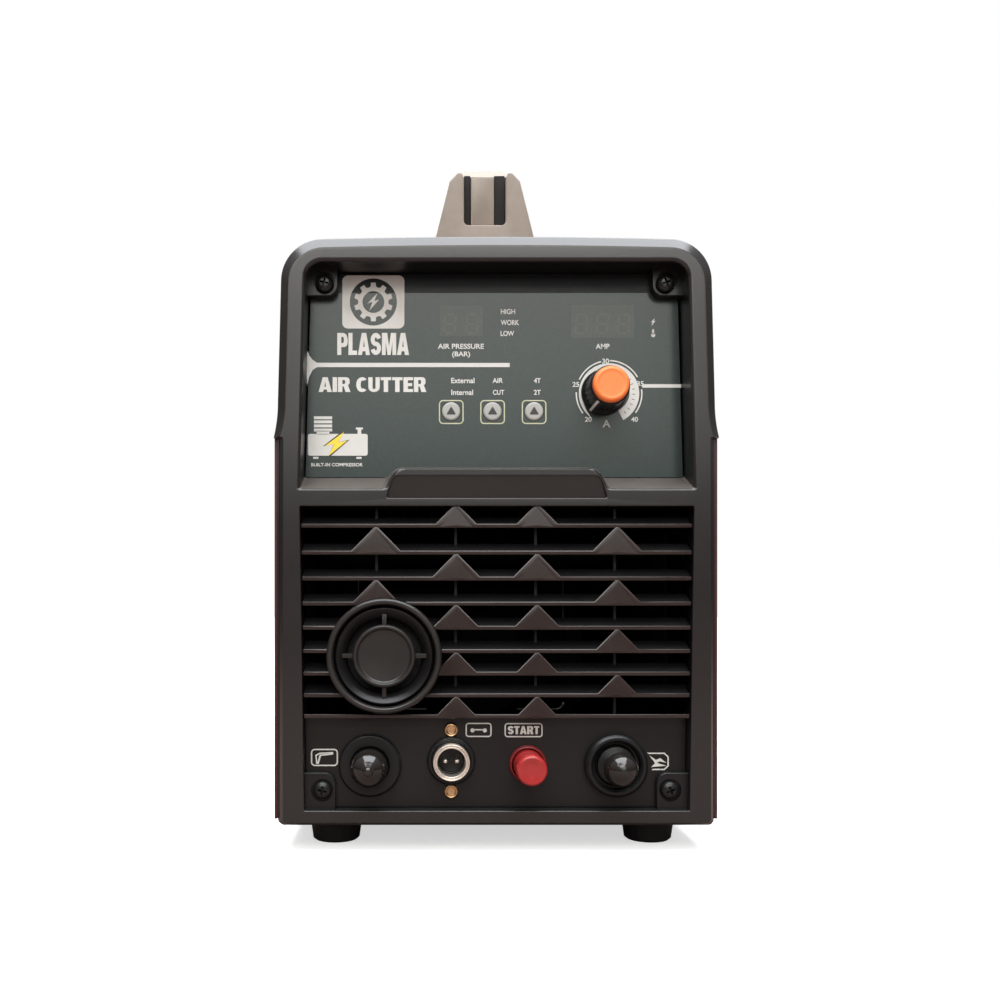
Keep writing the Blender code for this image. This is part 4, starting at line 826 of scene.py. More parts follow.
# ---------------------------------------------------------------- control panel
def knob():
    low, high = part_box("knob_skirt")
    x, y, z = place = (((low + high) / 2).x, FILM_LOW.y, ((low + high) / 2).z)
    top = (y - low.y) / MM
    skirt = [
        (0, top), (8.4, top), (9.0, top - 0.6), (9.4, 3.2), (10.4, 2.0), (10.7, 1.4), (10.7, 0.4),
        (3.3, 0.4),
    ]
    skirt = softened([*skirt, (3.3, 12.0), (0, 12.0)], 0.35 * MM)
    flute = mm([(0, top - 0.9), (0.75, top - 1.6), (0.75, 3.6), (0, 3.0)])
    flutes = []
    for across, up in circle((x, z), 9.75 * MM, 24):
        spot = (across, y, up)
        flutes.append(turned_mesh("flute", flute, spot, steps=10))
    mesh = cut("knob_skirt_look", turned_mesh("skirt", skirt, place, steps=144), flutes)
    look("knob_skirt", shaded(mesh, 30), SOCKET_BLACK, "current_knob")
    low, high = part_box("knob_cap")
    top, base = (y - low.y) / MM, (y - high.y) / MM
    cap = [
        (0, top - 0.25), (5.6, top - 0.2), (6.6, top), (7.4, top - 0.25), (8.1, top - 1.1), (8.3, base),
        (0, base),
    ]
    turned("knob_cap", cap, place, ORANGE, 0.4 * MM, "current_knob")
    outline = [
        (8.7, top - 4.0), (9.2, top - 4.0), (9.9, 3.3), (10.95, 2.1), (10.95, 0.9), (10.4, 0.9), (9.2, 2.6)
    ]
    outline = [(-h * MM, -r * MM) for r, h in outline]
    pointer = flat_mesh("pointer", [outline], "side", -0.6 * MM, 0.6 * MM, 0.1 * MM)
    pointer.transform(Matrix.Translation(place) @ Matrix.Rotation(radians(37), 4, "Y"))
    add("knob_pointer", pointer, WHITE_INK, body="current_knob")


def keys():
    cap = [(0, 0.6), (3.6, 0.6), (4.3, 0.2), (4.3, -0.4), (2.0, -0.4), (2.0, -8.0), (0, -8.0)]
    front = FILM_LOW.y - 0.6 * MM
    for name in ("air_source", "mode", "trigger"):
        key, body = f"key_{name}", f"{name}_key"
        centre = middle(key)
        turned(key, cap, (centre.x, FILM_LOW.y, centre.z), KEY_WHITE, 0.2 * MM, body)
        points = [(centre.x + x, centre.z + z) for x, z in mm([(-2.3, -1.6), (2.3, -1.6), (0, 2.3)])]
        arrow = flat_mesh(
            "arrow", [rounded(points, 0.3 * MM, 3)], "front", front - 0.04 * MM, front + 0.02 * MM
        )
        add(f"{key}_arrow", arrow, DARK_INK, body=body)


# ---------------------------------------------------------------- print
INK = 0.04 * MM
PRINT_SHIFT = 0.25 * MM
DIAL = (53.4, 211.3)
FILM_WORDS = (
    ("BUILT-IN COMPRESSOR", -73.7, 178.0, 24.1, 1.6),
    ("HIGH", 6.2, 249.5, 6.7, 2.4),
    ("WORK", 7.1, 244.4, 8.5, 2.4),
    ("LOW", 5.9, 239.3, 6.3, 2.4),
    ("AIR PRESSURE", -15.8, 233.3, 21.5, 2.4),
    ("(BAR)", -15.7, 229.4, 8.4, 3.0),
    ("AMP", 50.4, 233.3, 6.4, 2.4),
    ("External", -14.9, 217.3, 10.9, 2.5),
    ("Internal", -15.2, 211.8, 10.2, 2.5),
    ("AIR", 1.4, 217.3, 4.9, 2.3),
    ("CUT", 1.8, 211.8, 5.3, 2.3),
    ("4T", 19.9, 217.3, 3.2, 2.3),
    ("2T", 19.9, 211.8, 3.2, 2.3),
    ("20", 43.7, 199.2, 3.2, 2.3),
    ("25", 37.9, 215.5, 3.2, 2.3),
    ("30", 51.8, 226.4, 3.2, 2.3),
    ("35", 68.0, 215.9, 3.2, 2.3),
    ("40", 65.3, 199.2, 3.2, 2.3),
    ("A", 52.2, 197.2, 3.7, 3.6),
)
DIGITS = ((-20.9, 243.8), (-10.6, 243.8), (40.5, 243.8), (50.3, 243.8), (60.2, 243.8))


def printed(outlines, face, thick=INK):
    """A layer of ink on a face: flat outlines in millimetres, the later ones being holes."""
    return flat_mesh("ink", [mm(outline) for outline in outlines], "front", face - thick, face + INK / 2)


def word(text, x, z, width, height, face):
    """A word stretched to a width and height in millimetres, on a face."""
    curve = bpy.data.curves.new("word", "FONT")
    curve.body = text
    curve.offset = 0.02  # a little bolder than the plain font
    curve.extrude = 0.5
    drawn = in_scene("word", curve)
    mesh = evaluated(drawn)
    bpy.data.objects.remove(drawn)
    bpy.data.curves.remove(curve)
    xs = [v.co.x for v in mesh.vertices]
    ys = [v.co.y for v in mesh.vertices]
    centre = Vector(((min(xs) + max(xs)) / 2, (min(ys) + max(ys)) / 2, 0))
    size = (width * MM / (max(xs) - min(xs)), height * MM / (max(ys) - min(ys)), INK)
    mesh.transform(Matrix.Diagonal((*size, 1)) @ Matrix.Translation(-centre))
    mesh.transform(Matrix.Translation((x * MM, face - INK / 2, z * MM)) @ Matrix.Rotation(pi / 2, 4, "X"))
    return mesh


def rect(x, z, width, height, radius=0.0):
    return box_outline((x - width / 2, z - height / 2), (x + width / 2, z + height / 2), radius)


def ellipse(centre, across, up, start, end, steps=20):
    angles = [radians(start + (end - start) * k / steps) for k in range(steps + 1)]
    return [(centre[0] + across * cos(a), centre[1] + up * sin(a)) for a in angles]


def arc_points(centre, radius, start, end, steps=24):
    return ellipse(centre, radius, radius, start, end, steps)


def band(centre, inner, outer, start, end, steps=24):
    return arc_points(centre, inner, start, end, steps) + arc_points(centre, outer, end, start, steps)


def framed(x, z, width, height, radius, line):
    return [
        rect(x, z, width, height, radius), rect(x, z, width - 2 * line, height - 2 * line, radius - line)
    ]


def bolt(x, z, width, height):
    shape = [(0.35, 0.5), (-0.5, -0.08), (-0.08, 0.0), (-0.35, -0.5), (0.5, 0.14), (0.08, 0.05)]
    return [(x + u * width, z + v * height) for u, v in shape]


def emblem(face):
    """A plain mark: a rounded plate with a gear wheel and a bolt in its round window."""
    centre = (-56.7, 254.0)
    wheel = []
    for tooth in range(10):
        for turn, radius in ((0, 7.0), (8, 7.3), (11, 9.1), (25, 9.1), (28, 7.3)):
            angle = radians(36 * tooth + turn)
            wheel.append((centre[0] + radius * cos(angle), centre[1] + radius * sin(angle)))
    shapes = [[rect(*centre, 29.0, 24.8, 2.6), circle(centre, 11.0)], [wheel, circle(centre, 5.1)]]
    shapes.append([bolt(*centre, 5.4, 8.2)])
    return [printed(shape, face) for shape in shapes]


STEM, BAR = 0.27, 0.20  # heavy letters: thickness of uprights and of cross strokes, for a height of one


def stroke(points):
    """The outline of a curved letter stroke along its middle line."""
    left, right = [], []
    for i, (x, z) in enumerate(points):
        before, after = points[max(i - 1, 0)], points[min(i + 1, len(points) - 1)]
        run = Vector((after[0] - before[0], after[1] - before[1])).normalized()
        left.append((x - run.y * STEM / 2, z + run.x * BAR / 2))
        right.append((x + run.y * STEM / 2, z - run.x * BAR / 2))
    return left + right[::-1]


def heavy_letter(letter):
    """A block letter one unit high: its width and its outlines, the later ones being holes."""
    s, b = STEM, BAR
    if letter == "I":
        return s, [[(0, 0), (s, 0), (s, 1), (0, 1)]]
    if letter == "L":
        return 0.58, [[(0, 0), (0.58, 0), (0.58, b), (s, b), (s, 1), (0, 1)]]
    if letter == "T":
        low, high = 0.32 - s / 2, 0.32 + s / 2
        bar = [(high, 1 - b), (0.64, 1 - b), (0.64, 1), (0, 1), (0, 1 - b), (low, 1 - b)]
        return 0.64, [[(low, 0), (high, 0), *bar]]
    if letter == "E":
        arms = [
            (0.58, b), (s, b), (s, 0.5 - b / 2), (0.53, 0.5 - b / 2), (0.53, 0.5 + b / 2), (s, 0.5 + b / 2),
            (s, 1 - b),
        ]
        return 0.58, [[(0, 0), (0.58, 0), *arms, (0.58, 1 - b), (0.58, 1), (0, 1)]]
    if letter == "A":
        sides = [(0, 0), (0.27, 0), (0.31, 0.17), (0.49, 0.17), (0.53, 0), (0.80, 0), (0.55, 1), (0.25, 1)]
        return 0.80, [sides, [(0.35, 0.36), (0.45, 0.36), (0.40, 0.70)]]
    if letter == "M":
        inner = [(0.25, 0), (0.25, 0.6), (0.37, 0), (0.58, 0), (0.70, 0.6), (0.70, 0)]
        return 0.95, [[(0, 0), *inner, (0.95, 0), (0.95, 1), (0.60, 1), (0.475, 0.38), (0.35, 1), (0, 1)]]
    if letter in "PR":
        hole = rounded([(s, 0.54), (0.44, 0.54), (0.44, 0.82), (s, 0.82)], [0, 0.12, 0.12, 0], 4)
        points, radii = [(0, 0), (s, 0), (s, 0.36), (0.69, 0.36), (0.69, 1), (0, 1)], [0, 0, 0, 0.3, 0.3, 0]
        if letter == "R":
            points = [
                (0, 0), (s, 0), (s, 0.38), (0.35, 0.38), (0.46, 0), (0.76, 0), (0.61, 0.46), (0.71, 0.58),
                (0.71, 1), (0, 1),
            ]
            radii = [0, 0, 0, 0, 0, 0, 0, 0.1, 0.28, 0]
        return points[3][0] if letter == "P" else 0.76, [rounded(points, radii, 5), hole]
    if letter == "U":
        points = [(0, 1), (0, 0), (0.70, 0), (0.70, 1), (0.44, 1), (0.44, b), (0.26, b), (0.26, 1)]
        return 0.70, [rounded(points, [0, 0.34, 0.34, 0, 0, 0.085, 0.085, 0], 6)]
    if letter == "C":
        return 0.68, [stroke(ellipse((0.36, 0.5), 0.225, 0.40, 48, 312, 32))]
    top, low = ellipse((0.34, 0.70), 0.21, 0.20, 12, 270), ellipse((0.34, 0.30), 0.21, 0.20, 90, -168)
    return 0.69, [stroke(top + low[1:])]


def heavy_word(text, x, z, width, height, face):
    """A word in block letters, stretched to a width and height in millimetres."""
    gap, space, pen, letters = 0.055, 0.30, 0.0, []
    for letter in text:
        if letter == " ":
            pen += space
            continue
        advance, outlines = heavy_letter(letter)
        letters.append((pen, outlines))
        pen += advance + gap
    scale, left = width / (pen - gap), x - width / 2
    meshes = []
    for start, outlines in letters:
        placed = [[(left + (start + u) * scale, z + (v - 0.5) * height) for u, v in o] for o in outlines]
        meshes.append(printed(placed, face))
    return meshes


def ink(name, meshes, material):
    """Prints on the film, moved together."""
    mesh = joined(name, meshes)
    mesh.transform(Matrix.Translation((PRINT_SHIFT, 0, 0)))
    add(name, mesh, material)


def dial_swell():
    """The dial's band, which widens clockwise."""
    inner, outer = [], []
    for k in range(61):
        angle = radians(232 - 294 * k / 60)
        radius = 14.0 - 5.1 * (k / 60) ** 0.6
        inner.append((DIAL[0] + radius * cos(angle), DIAL[1] + radius * sin(angle)))
        outer.append((DIAL[0] + 14.1 * cos(angle), DIAL[1] + 14.1 * sin(angle)))
    return outer + inner[::-1]


def film_print():
    face = FILM_LOW.y
    white = [word(*entry, face) for entry in FILM_WORDS] + emblem(face)
    white += heavy_word("PLASMA", -56.8, 234.4, 33.5, 10.3, face)
    white += heavy_word("AIR CUTTER", -57.1, 215.4, 50.3, 6.9, face)
    rule = [
        (-87.7, 231.9), (-86.6, 229.0), (-85.0, 226.9), (-83.0, 225.6), (7.0, 225.5), (7.0, 223.6),
        (-83.0, 223.6),
    ]
    rule += [(-85.0, 222.3), (-86.6, 219.2), (-87.7, 214.8)]
    shapes = [rule, rect(78.0, 214.8, 18.2, 1.6)]
    shapes += [rect(-80.2, 199.9 - 1.9 * row, 8.5, 1.35) for row in range(4)]
    shapes += [rect(-80.2, 193.0, 6.0, 1.7), rect(-73.3, 187.3, 27.9, 10.2, 1.0)]
    shapes += [rect(-63.2, 194.9, 3.3, 0.9), rect(-63.2, 193.4, 1.7, 2.1)]
    shapes += [rect(x, 181.2, 2.4, 0.9) for x in (-83.6, -63.4)]
    shapes += [band(DIAL, 15.0, 15.6, *ends, 20) for ends in ((-36, 7), (30, 89), (104, 155), (178, 217))]
    shapes += [dial_swell(), bolt(74.0, 244.7, 2.4, 3.7), rect(74.0, 240.0, 0.9, 2.6, 0.4)]
    shapes.append(arc_points((74.0, 238.5), 0.95, 0, 345, 23))
    ink("print_white", white + [printed([shape], face) for shape in shapes], WHITE_INK)
    # Painted reflection: a near-black band across the film's top, where the film mirrors the recess's dark
    # top wall.
    half = FILM_HIGH.x / MM - 0.3
    strip = box_outline((-half, 258.2), (half, FILM_HIGH.z / MM - 0.3))
    add("film_band_painted_reflection", printed([strip], face, 0.5 * INK), PAINTED_REFLECTION_BAND)
    ticks = []
    for angle in (-50, -38, -26, -14, -2, 10, 22, 34, 46):
        around = Matrix.Rotation(radians(angle), 2)
        corners = [around @ Vector(corner) for corner in box_outline((10.9, -0.14), (12.3, 0.14))]
        ticks.append(printed([[(DIAL[0] + c.x, DIAL[1] + c.y) for c in corners]], face, 2 * INK))
    ink("print_ticks", ticks, DARK_INK)
    frames = [printed(framed(x, 202.6, 11.5, 11.2, 1.9, 0.5), face) for x in (-20.3, -1.0, 18.4)]
    ink("print_key_frames", frames, CREAM_INK)
    ink(
        "print_bolt_edge", [printed([bolt(-74.0, 187.7, 12.6, 14.4)], face, 2 * INK)], DARK_INK,
    )
    ink(
        "print_bolt", [printed([bolt(-74.0, 187.7, 10.4, 11.2)], face, 3 * INK)], YELLOW_INK,
    )
    windows = [rect(-15.6, 245.2, 20.0, 14.4, 0.6), rect(50.5, 245.0, 29.4, 15.4, 0.6)]
    ink("display_windows", [printed([window], face) for window in windows], WINDOW)
    segments = []
    for x, z in DIGITS:
        for u, v, flat in (
            (0, 1, 1), (0, 0, 1), (0, -1, 1), (-1, 0.5, 0), (1, 0.5, 0), (-1, -0.5, 0), (1, -0.5, 0)
        ):
            px, pz = x + u * 2.5 + v * 0.4, z + v * 4.4
            half, edge = (3.9 if flat else 3.7) / 2, 0.95 / 2
            bar = [
                (-half, 0), (-half + edge, edge), (half - edge, edge), (half, 0), (half - edge, -edge),
                (-half + edge, -edge),
            ]
            if not flat:
                bar = [(-b + 0.09 * a, a) for a, b in bar]
            segments.append(printed([[(px + a, pz + b) for a, b in bar]], face, 1.5 * INK))
    ink("display_segments", segments, UNLIT)


def panel_print():
    face = PANEL_LOW.y
    torch = [
        (-82.2, 39.8), (-81.0, 39.8), (-80.0, 43.4), (-74.4, 44.0), (-74.4, 45.2), (-80.6, 44.9),
        (-82.6, 43.8),
    ]
    inside = [(-81.6, 40.5), (-80.6, 44.0), (-75.0, 44.6), (-80.4, 44.3), (-82.0, 43.4)]
    clamp_frame = [(69.3, 44.9), (77.4, 44.9), (79.3, 43.0), (79.3, 38.8), (77.4, 36.9), (71.6, 36.9)]
    clamp_frame += [(71.8, 37.5), (77.1, 37.5), (78.7, 39.0), (78.7, 42.8), (77.1, 44.3), (69.8, 44.3)]
    jaw = [
        (70.4, 43.6), (73.4, 41.6), (75.4, 42.4), (78.2, 40.2), (75.2, 40.9), (73.8, 40.2), (78.2, 38.9),
        (71.2, 38.3),
    ]
    jaw += [(73.0, 40.0), (72.2, 41.2)]
    shapes = [framed(12.8, 55.2, 17.4, 6.5, 1.4, 0.55), framed(-7.8, 55.3, 11.9, 6.5, 1.4, 0.55)]
    shapes += [
        [rect(-7.8, 55.4, 4.6, 0.6)], *([arc_points((x, 55.1), 0.95, 0, 345, 23)] for x in (-10.6, -5.0))
    ]
    shapes += [framed(-78.4, 42.7, 12.4, 7.9, 1.8, 0.6), [torch, inside], [clamp_frame], [jaw]]
    white = heavy_word("START", 12.8, 55.2, 14.4, 3.7, face) + [printed(shape, face) for shape in shapes]
    add("print_panel", joined("print_panel", white), WHITE_INK)


# ---------------------------------------------------------------- handle
TENON_SHIFT = -1.2 * MM  # the grip's ends sit a little to one side of their slots


def handle():
    """Two slotted posts, the arched grip whose ends sit in their slots, and near-black liners beside the
    ends, painted shade for the shadow in the slots.
    """
    posts = [(node, *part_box(node)) for node in ("handle_front_post", "handle_rear_post")]
    low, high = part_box("handle_grip")
    top, base, foot = posts[0][2].z, posts[0][1].z, posts[0][2].x
    thickness = posts[0][2].y - posts[0][1].y
    floor = low.z - 0.4 * MM
    right = [(foot, base), (18.8 * MM, top - 4.6 * MM), (14.6 * MM, top), (12.4 * MM, top)]
    right += [(11.2 * MM, top - 2.4 * MM), (11.1 * MM, floor), (0, floor)]
    half = rounded(right, [0, 2.4 * MM, 1.2 * MM, 1.0 * MM, 1.2 * MM, 2.2 * MM, 0], 6, False)
    outline = half + [(-x, z) for x, z in reversed(half[:-1])]
    # The posts and grip take the handle's painted light.
    for node, post_low, post_high in posts:
        mesh = flat_mesh(f"{node}_look", [outline], "front", post_low.y, post_high.y, 0.9 * MM, 4)
        look(node, shaded(mesh, 40), HANDLE_PAINTED_LIGHT)
        # The liners are painted shade: dark blocks in the slots, where the handle shows only shadow.
        inset = 4.0 * MM
        ends = (post_low.y + inset, post_high.y - 0.4 * MM)
        if node == "handle_rear_post":
            ends = (post_low.y + 0.4 * MM, post_high.y - inset)
        sides = []
        for side in (-1, 1):
            x = sorted((TENON_SHIFT + side * 6.4 * MM, side * 10.9 * MM))
            sides.append(block("shade_liner", x, ends, (floor + 0.3 * MM, top - 0.2 * MM), 0.3 * MM))
        add(f"{node}_liner", shaded(joined("shade_liner", sides)), SLOT_PAINTED_SHADE)
    start, end = low.y, high.y
    under, crest = low.z, high.z
    nose_top = top - 1.9 * MM

    def section(y, half_width, bottom, peak, corner, middle_x=0.0):
        return at_y(
            box_outline((middle_x - half_width, bottom), (middle_x + half_width, peak), corner, 6), y
        )

    def tenon(y, inset, peak):
        return section(y, (6.2 - inset) * MM, under + inset * MM, peak, 0.5 * MM, TENON_SHIFT)

    nose = [(0.0, 0.5, nose_top - 0.5 * MM), (0.15, 0.15, nose_top - 0.15 * MM), (0.5, 0, nose_top)]
    nose += [(5.0, 0, nose_top + 1.6 * MM), (thickness / MM - 0.6, 0, crest - 1.4 * MM)]
    rings = [tenon(start + d * MM, inset, z) for d, inset, z in nose]
    inner_start, inner_end = start + thickness - 0.4 * MM, end - thickness + 0.4 * MM
    for k in range(49):
        t = k / 48
        lift = max(0.0, sin(pi * t)) ** 0.5
        swell = min(1.0, t * 16, (1 - t) * 16)
        swell = swell * swell * (3 - 2 * swell)
        half_width = (11.4 + 0.6 * swell + 3.2 * lift) * MM
        y = inner_start + (inner_end - inner_start) * t
        rings.append(section(y, half_width, under + 10.4 * MM * lift, crest, (3.0 + 3.2 * swell) * MM))
    rings += [tenon(end - d * MM, inset, z) for d, inset, z in reversed(nose)]
    slope = [(5.0 * MM, top + 0.2 * MM), (thickness - 0.8 * MM, crest), (thickness + 1 * MM, crest)]
    slope.append((thickness + 1 * MM, top + 0.2 * MM))
    heads = []
    for place, way in ((start, 1), (end, -1)):
        outline = [(place + way * y, z) for y, z in slope]
        head = flat_mesh("head", [outline], "side", -12.1 * MM, 12.1 * MM)
        shave = [(-13.0, 351.0), (-8.6, 351.0), (-9.6, 350.0), (-12.3, 347.6), (-13.0, 347.0)]
        for side in (-1, 1):
            corner = [(side * x * MM, z * MM) for x, z in shave]
            near, far = sorted((place, place + way * 20 * MM))
            tool = flat_mesh("shave", [corner], "front", near - 1 * MM, far)
            head = cut("head", head, [tool])
        heads.append(head)
    mesh = shaded(combined("handle_grip_look", loft_mesh("handle_grip_look", rings), heads), 35)
    # The grip takes the handle's painted light too.
    look("handle_grip", mesh, HANDLE_PAINTED_LIGHT)


# ---------------------------------------------------------------- cover and rear
LOUVRE_STARTS = (95 * MM, 275 * MM)
LOUVRE_LENGTH = 62 * MM
LOUVRE_ROWS = 7
LOUVRE_LOWEST = 60
LOUVRE_PITCH = 14
LOUVRE_HEIGHT = 4.5 * MM
HOOD_REACH = 2.4 * MM


def case_cover():
    """The bent sheet, its louvres with their hoods, and the dark foam screens behind them, which are painted
    shade for the inside.
    """
    outer = case_outline(bottom=COVER_LOW.z, top=COVER_HIGH.z - CROWN, **COVER)
    thinner = {key: value - SHEET for key, value in COVER.items()}
    inner = case_outline(bottom=COVER_LOW.z, top=COVER_HIGH.z - CROWN - SHEET, **thinner)
    half = len(outer) // 2 + 1
    right, inside = [[(points[4][0], COVER_LOW.z), *points[5:half]] for points in (outer, inner)]
    outline = right + [(-x, z) for x, z in reversed(right[:-1])]
    outline += [(-x, z) for x, z in inside] + [(x, z) for x, z in reversed(inside[:-1])]
    mesh = flat_mesh("cover", [outline], "front", COVER_LOW.y, COVER_HIGH.y)
    slots, hoods, screens = [], [], []
    skin, reach, wall = COVER_HALF - 0.2 * MM, COVER_HALF + HOOD_REACH, COVER_HALF - SHEET
    for start in LOUVRE_STARTS:
        near, far = FRONT + start, FRONT + start + LOUVRE_LENGTH
        for row in range(LOUVRE_ROWS):
            low = (LOUVRE_LOWEST + LOUVRE_PITCH * row) * MM
            high = low + LOUVRE_HEIGHT
            slots.append(
                flat_mesh("slot", [box_outline((near, low), (far, high), 0.8 * MM)], "side", -0.12, 0.12)
            )
            roof = [
                (skin, high + 2.2 * MM), (reach - 0.8 * MM, high), (reach, high - 2.2 * MM),
                (reach, low - 2.0 * MM),
            ]
            shell = [
                (reach - 0.7 * MM, low - 2.0 * MM), (reach - 0.7 * MM, high - 2.4 * MM),
                (skin, high + 0.9 * MM),
            ]
            end = roof + [(skin, low - 2.0 * MM)]
            parts = (
                (roof + shell, (near, far)), (end, (near - 0.6 * MM, near)), (end, (far, far + 0.6 * MM))
            )
            for side in (-1, 1):
                for profile, depths in parts:
                    hoods.append(flat_mesh("hood", [[(side * x, z) for x, z in profile]], "front", *depths))
        outline = box_outline((near - 3 * MM, 57 * MM), (far + 3 * MM, 151 * MM), 2 * MM)
        for side in (-1, 1):
            faces = sorted((side * (wall - 2.2 * MM), side * (wall - 0.4 * MM)))
            screens.append(flat_mesh("screen", [outline], "side", *faces, 0.3 * MM))

    def unlit(face):
        """The sides' inner faces behind the louvres, painted near black as shade."""
        inward = face.normal.x * face.center.x < 0.3 * abs(face.center.x)
        on_side = abs(face.center.x) > 90 * MM and 50 * MM < face.center.z < 160 * MM
        return inward and on_side and FRONT + 40 * MM < face.center.y < BACK - 40 * MM

    mesh = cut("case_cover_look", mesh, slots)
    cover = look("case_cover", shaded(mesh, 30), PAINT)
    # Painted shade: the inner faces behind the louvres.
    more_materials(mesh, [INNER_PAINTED_SHADE], unlit)
    even_shading(cover)
    add("cover_louvre_hoods", shaded(joined("hoods", hoods), 30), PAINT)
    # Painted shade: the dark screens stand in for the shade inside the case behind the louvres.
    add("cover_louvre_shade_screens", shaded(joined("screens", screens)), FOAM)


def dust_filter():
    """A dark foam sheet in front of the rear fan: a dust filter that also stands in for the shade inside the
    case.
    """
    low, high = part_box("fan_frame")
    outline = box_outline((low.x, low.z), (high.x, high.z), 4 * MM)
    mesh = flat_mesh("fan_filter_and_shade", [outline], "front", low.y - 5 * MM, low.y - 0.5 * MM, 0.8 * MM, 3)
    add("fan_filter_and_shade", shaded(mesh), FOAM)


def fan_guard():
    """Three wire rings and two crossed wires outside them, fixed against the rear panel."""
    low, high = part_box("fan_guard")
    x, z = (low.x + high.x) / 2, (low.z + high.z) / 2
    ring_wire, bar_wire, reach = 0.9 * MM, 1.1 * MM, 70 * MM
    pieces = []
    for radius in (18 * MM, 38 * MM, 58 * MM):
        profile = circle((radius, 0), ring_wire, 12)
        pieces.append(turned_mesh("ring", profile, (x, low.y + ring_wire, z), "rear"))
    profile = [(0, -reach), (bar_wire, -reach), (bar_wire, reach), (0, reach)]
    profile = rounded(profile, [0, 0.5 * MM, 0.5 * MM, 0], 3, False)
    for angle in (45, 135):
        bar = turned_mesh("bar", profile, (0, 0, 0), "up", steps=24)
        bar.transform(
            Matrix.Translation((x, high.y - bar_wire, z)) @ Matrix.Rotation(radians(angle), 4, "Y")
        )
        pieces.append(bar)
    mesh = combined("fan_guard_look", pieces[0], pieces[1:])
    look("fan_guard", shaded(mesh, 40), STEEL)


def rear_bezel():
    opening = box_outline((-88.5 * MM, 20.5 * MM), (88.5 * MM, 265.5 * MM), 6 * MM, 8)
    tool = flat_mesh("opening", [opening], "front", BACK - SPIGOT_DEPTH - 2 * MM, BACK + 2 * MM)
    mesh = cut("rear_bezel_look", bezel_blank("rear_bezel_look", BACK, -1), [tool])
    even_shading(look("rear_bezel", shaded(mesh, 24), BLACK))


def panel_screws():
    """Small cross-slot screws down the cover's sides and in the rear panel's corners."""
    head = rounded(mm([(0, 1.1), (1.6, 1.0), (3.0, 0.5), (3.3, 0), (0, -0.1)]), 0.25 * MM, 3, False)
    wide = [(x, y, 1.6 * MM) for x, y in box_outline((-1.7 * MM, -0.4 * MM), (1.7 * MM, 0.4 * MM))]
    narrow = [(x, y, 0.25 * MM) for x, y in box_outline((-0.8 * MM, -0.25 * MM), (0.8 * MM, 0.25 * MM))]
    heads = []

    def screw(place, turn, twist):
        blades = crossed(lambda: loft_mesh("blade", [wide, narrow]), (twist, twist + 90), axis="Z")
        mesh = cut("screw", turned_mesh("screw", head, (0, 0, 0), "up", steps=32), blades)
        mesh.transform(Matrix.Translation(place) @ turn)
        heads.append(mesh)

    for side in (-1, 1):
        turn = Matrix.Rotation(side * pi / 2, 4, "Y")
        for k, depth in enumerate((24, 186, 394)):
            screw((side * COVER_HALF, FRONT + depth * MM, COVER_LOW.z + 9 * MM), turn, 17 + 40 * k)
    turn = Matrix.Rotation(-pi / 2, 4, "X")
    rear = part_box("rear_panel")[1].y
    for k, (x, z) in enumerate(mm([(-80, 32), (80, 32), (-80, 252), (80, 252)])):
        screw((x, rear, z), turn, 25 * k)
    add("panel_screws", shaded(joined("panel_screws", heads)), DARK_STEEL)


# ---------------------------------------------------------------- carried-over nodes
KEPT = (
    # Painted shade: the parts inside the case are near black so that the inside reads as shade; the base pan
    # is also dark painted steel.
    (INNER_PAINTED_SHADE, (
        "base_pan", "control_plate", "heatsink", "transformer", "compressor_motor", "compressor_pump",
        "solenoid_valve",
    )),
    (PANEL_BLACK, ("connector_panel", "rear_panel")),
    # The film's colour holds a painted reflection.
    (FILM, ("overlay_film",)),
    (RUBBER, ("foot_front_left", "foot_front_right", "foot_rear_left", "foot_rear_right")),
    (STEEL, ("pot_body",)),
    (ALUMINIUM, ("pot_shaft",)),
    (SMOKE, ("display_pressure", "display_current")),
    (BOARD, ("control_pcb", "main_pcb")),
    (FOAM, ("intake_filter",)),
    (BRASS, ("torch_core", "work_core", "air_inlet")),
    (BLACK, ("fan_frame", "fan_rotor", "compressor_fan")),
    (SOCKET_BLACK, ("power_switch_body", "cable_gland")),
    (RED, ("power_switch_rocker",)),
)


def carried_over():
    for material, nodes in KEPT:
        for node in nodes:
            mesh = shaded(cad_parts[node].data, 30)
            mesh.materials.clear()
            mesh.materials.append(material)


# ---------------------------------------------------------------- stage
CAMERA_DISTANCE = 450 * MM
VIEW_HEIGHT = 114.8 * MM
VIEW_OFFSET = -34 * MM
VIEW_SHIFT = (0.0786, 0.100)  # sideways and up, to frame the unit as the photograph does
FLOOR_HALF = 6


def floor_material():
    """White to the camera, darker and warmer in what the object reflects."""
    pale = bpy.data.materials.new("pale_floor")
    pale.use_nodes = True
    tree = pale.node_tree
    seen = shader_node(tree, "LightPath", {})["Is Camera Ray"]
    place = shader_node(tree, "TexCoord", {})["Object"]
    away = shader_node(tree, "VectorMath", {0: place}, operation="LENGTH")["Value"]
    fade = {"From Min": 0.25, "From Max": 0.75, "To Min": 0.6, "To Max": 1.0, "Value": away}
    glow = {0: seen, 1: shader_node(tree, "MapRange", fade)["Result"]}
    dim = {"A": (0.21, 0.155, 0.135, 1), "B": (0.9, 0.9, 0.9, 1), "Factor": seen}
    inputs = {
        "Base Color": shader_node(tree, "Mix", dim, data_type="RGBA")["Result"],
        "Roughness": 0.9,
        "Emission Color": (1, 1, 1, 1),
        "Emission Strength": shader_node(tree, "Math", glow, operation="MULTIPLY")["Value"],
    }
    feed(tree.nodes["Principled BSDF"], inputs)
    return pale


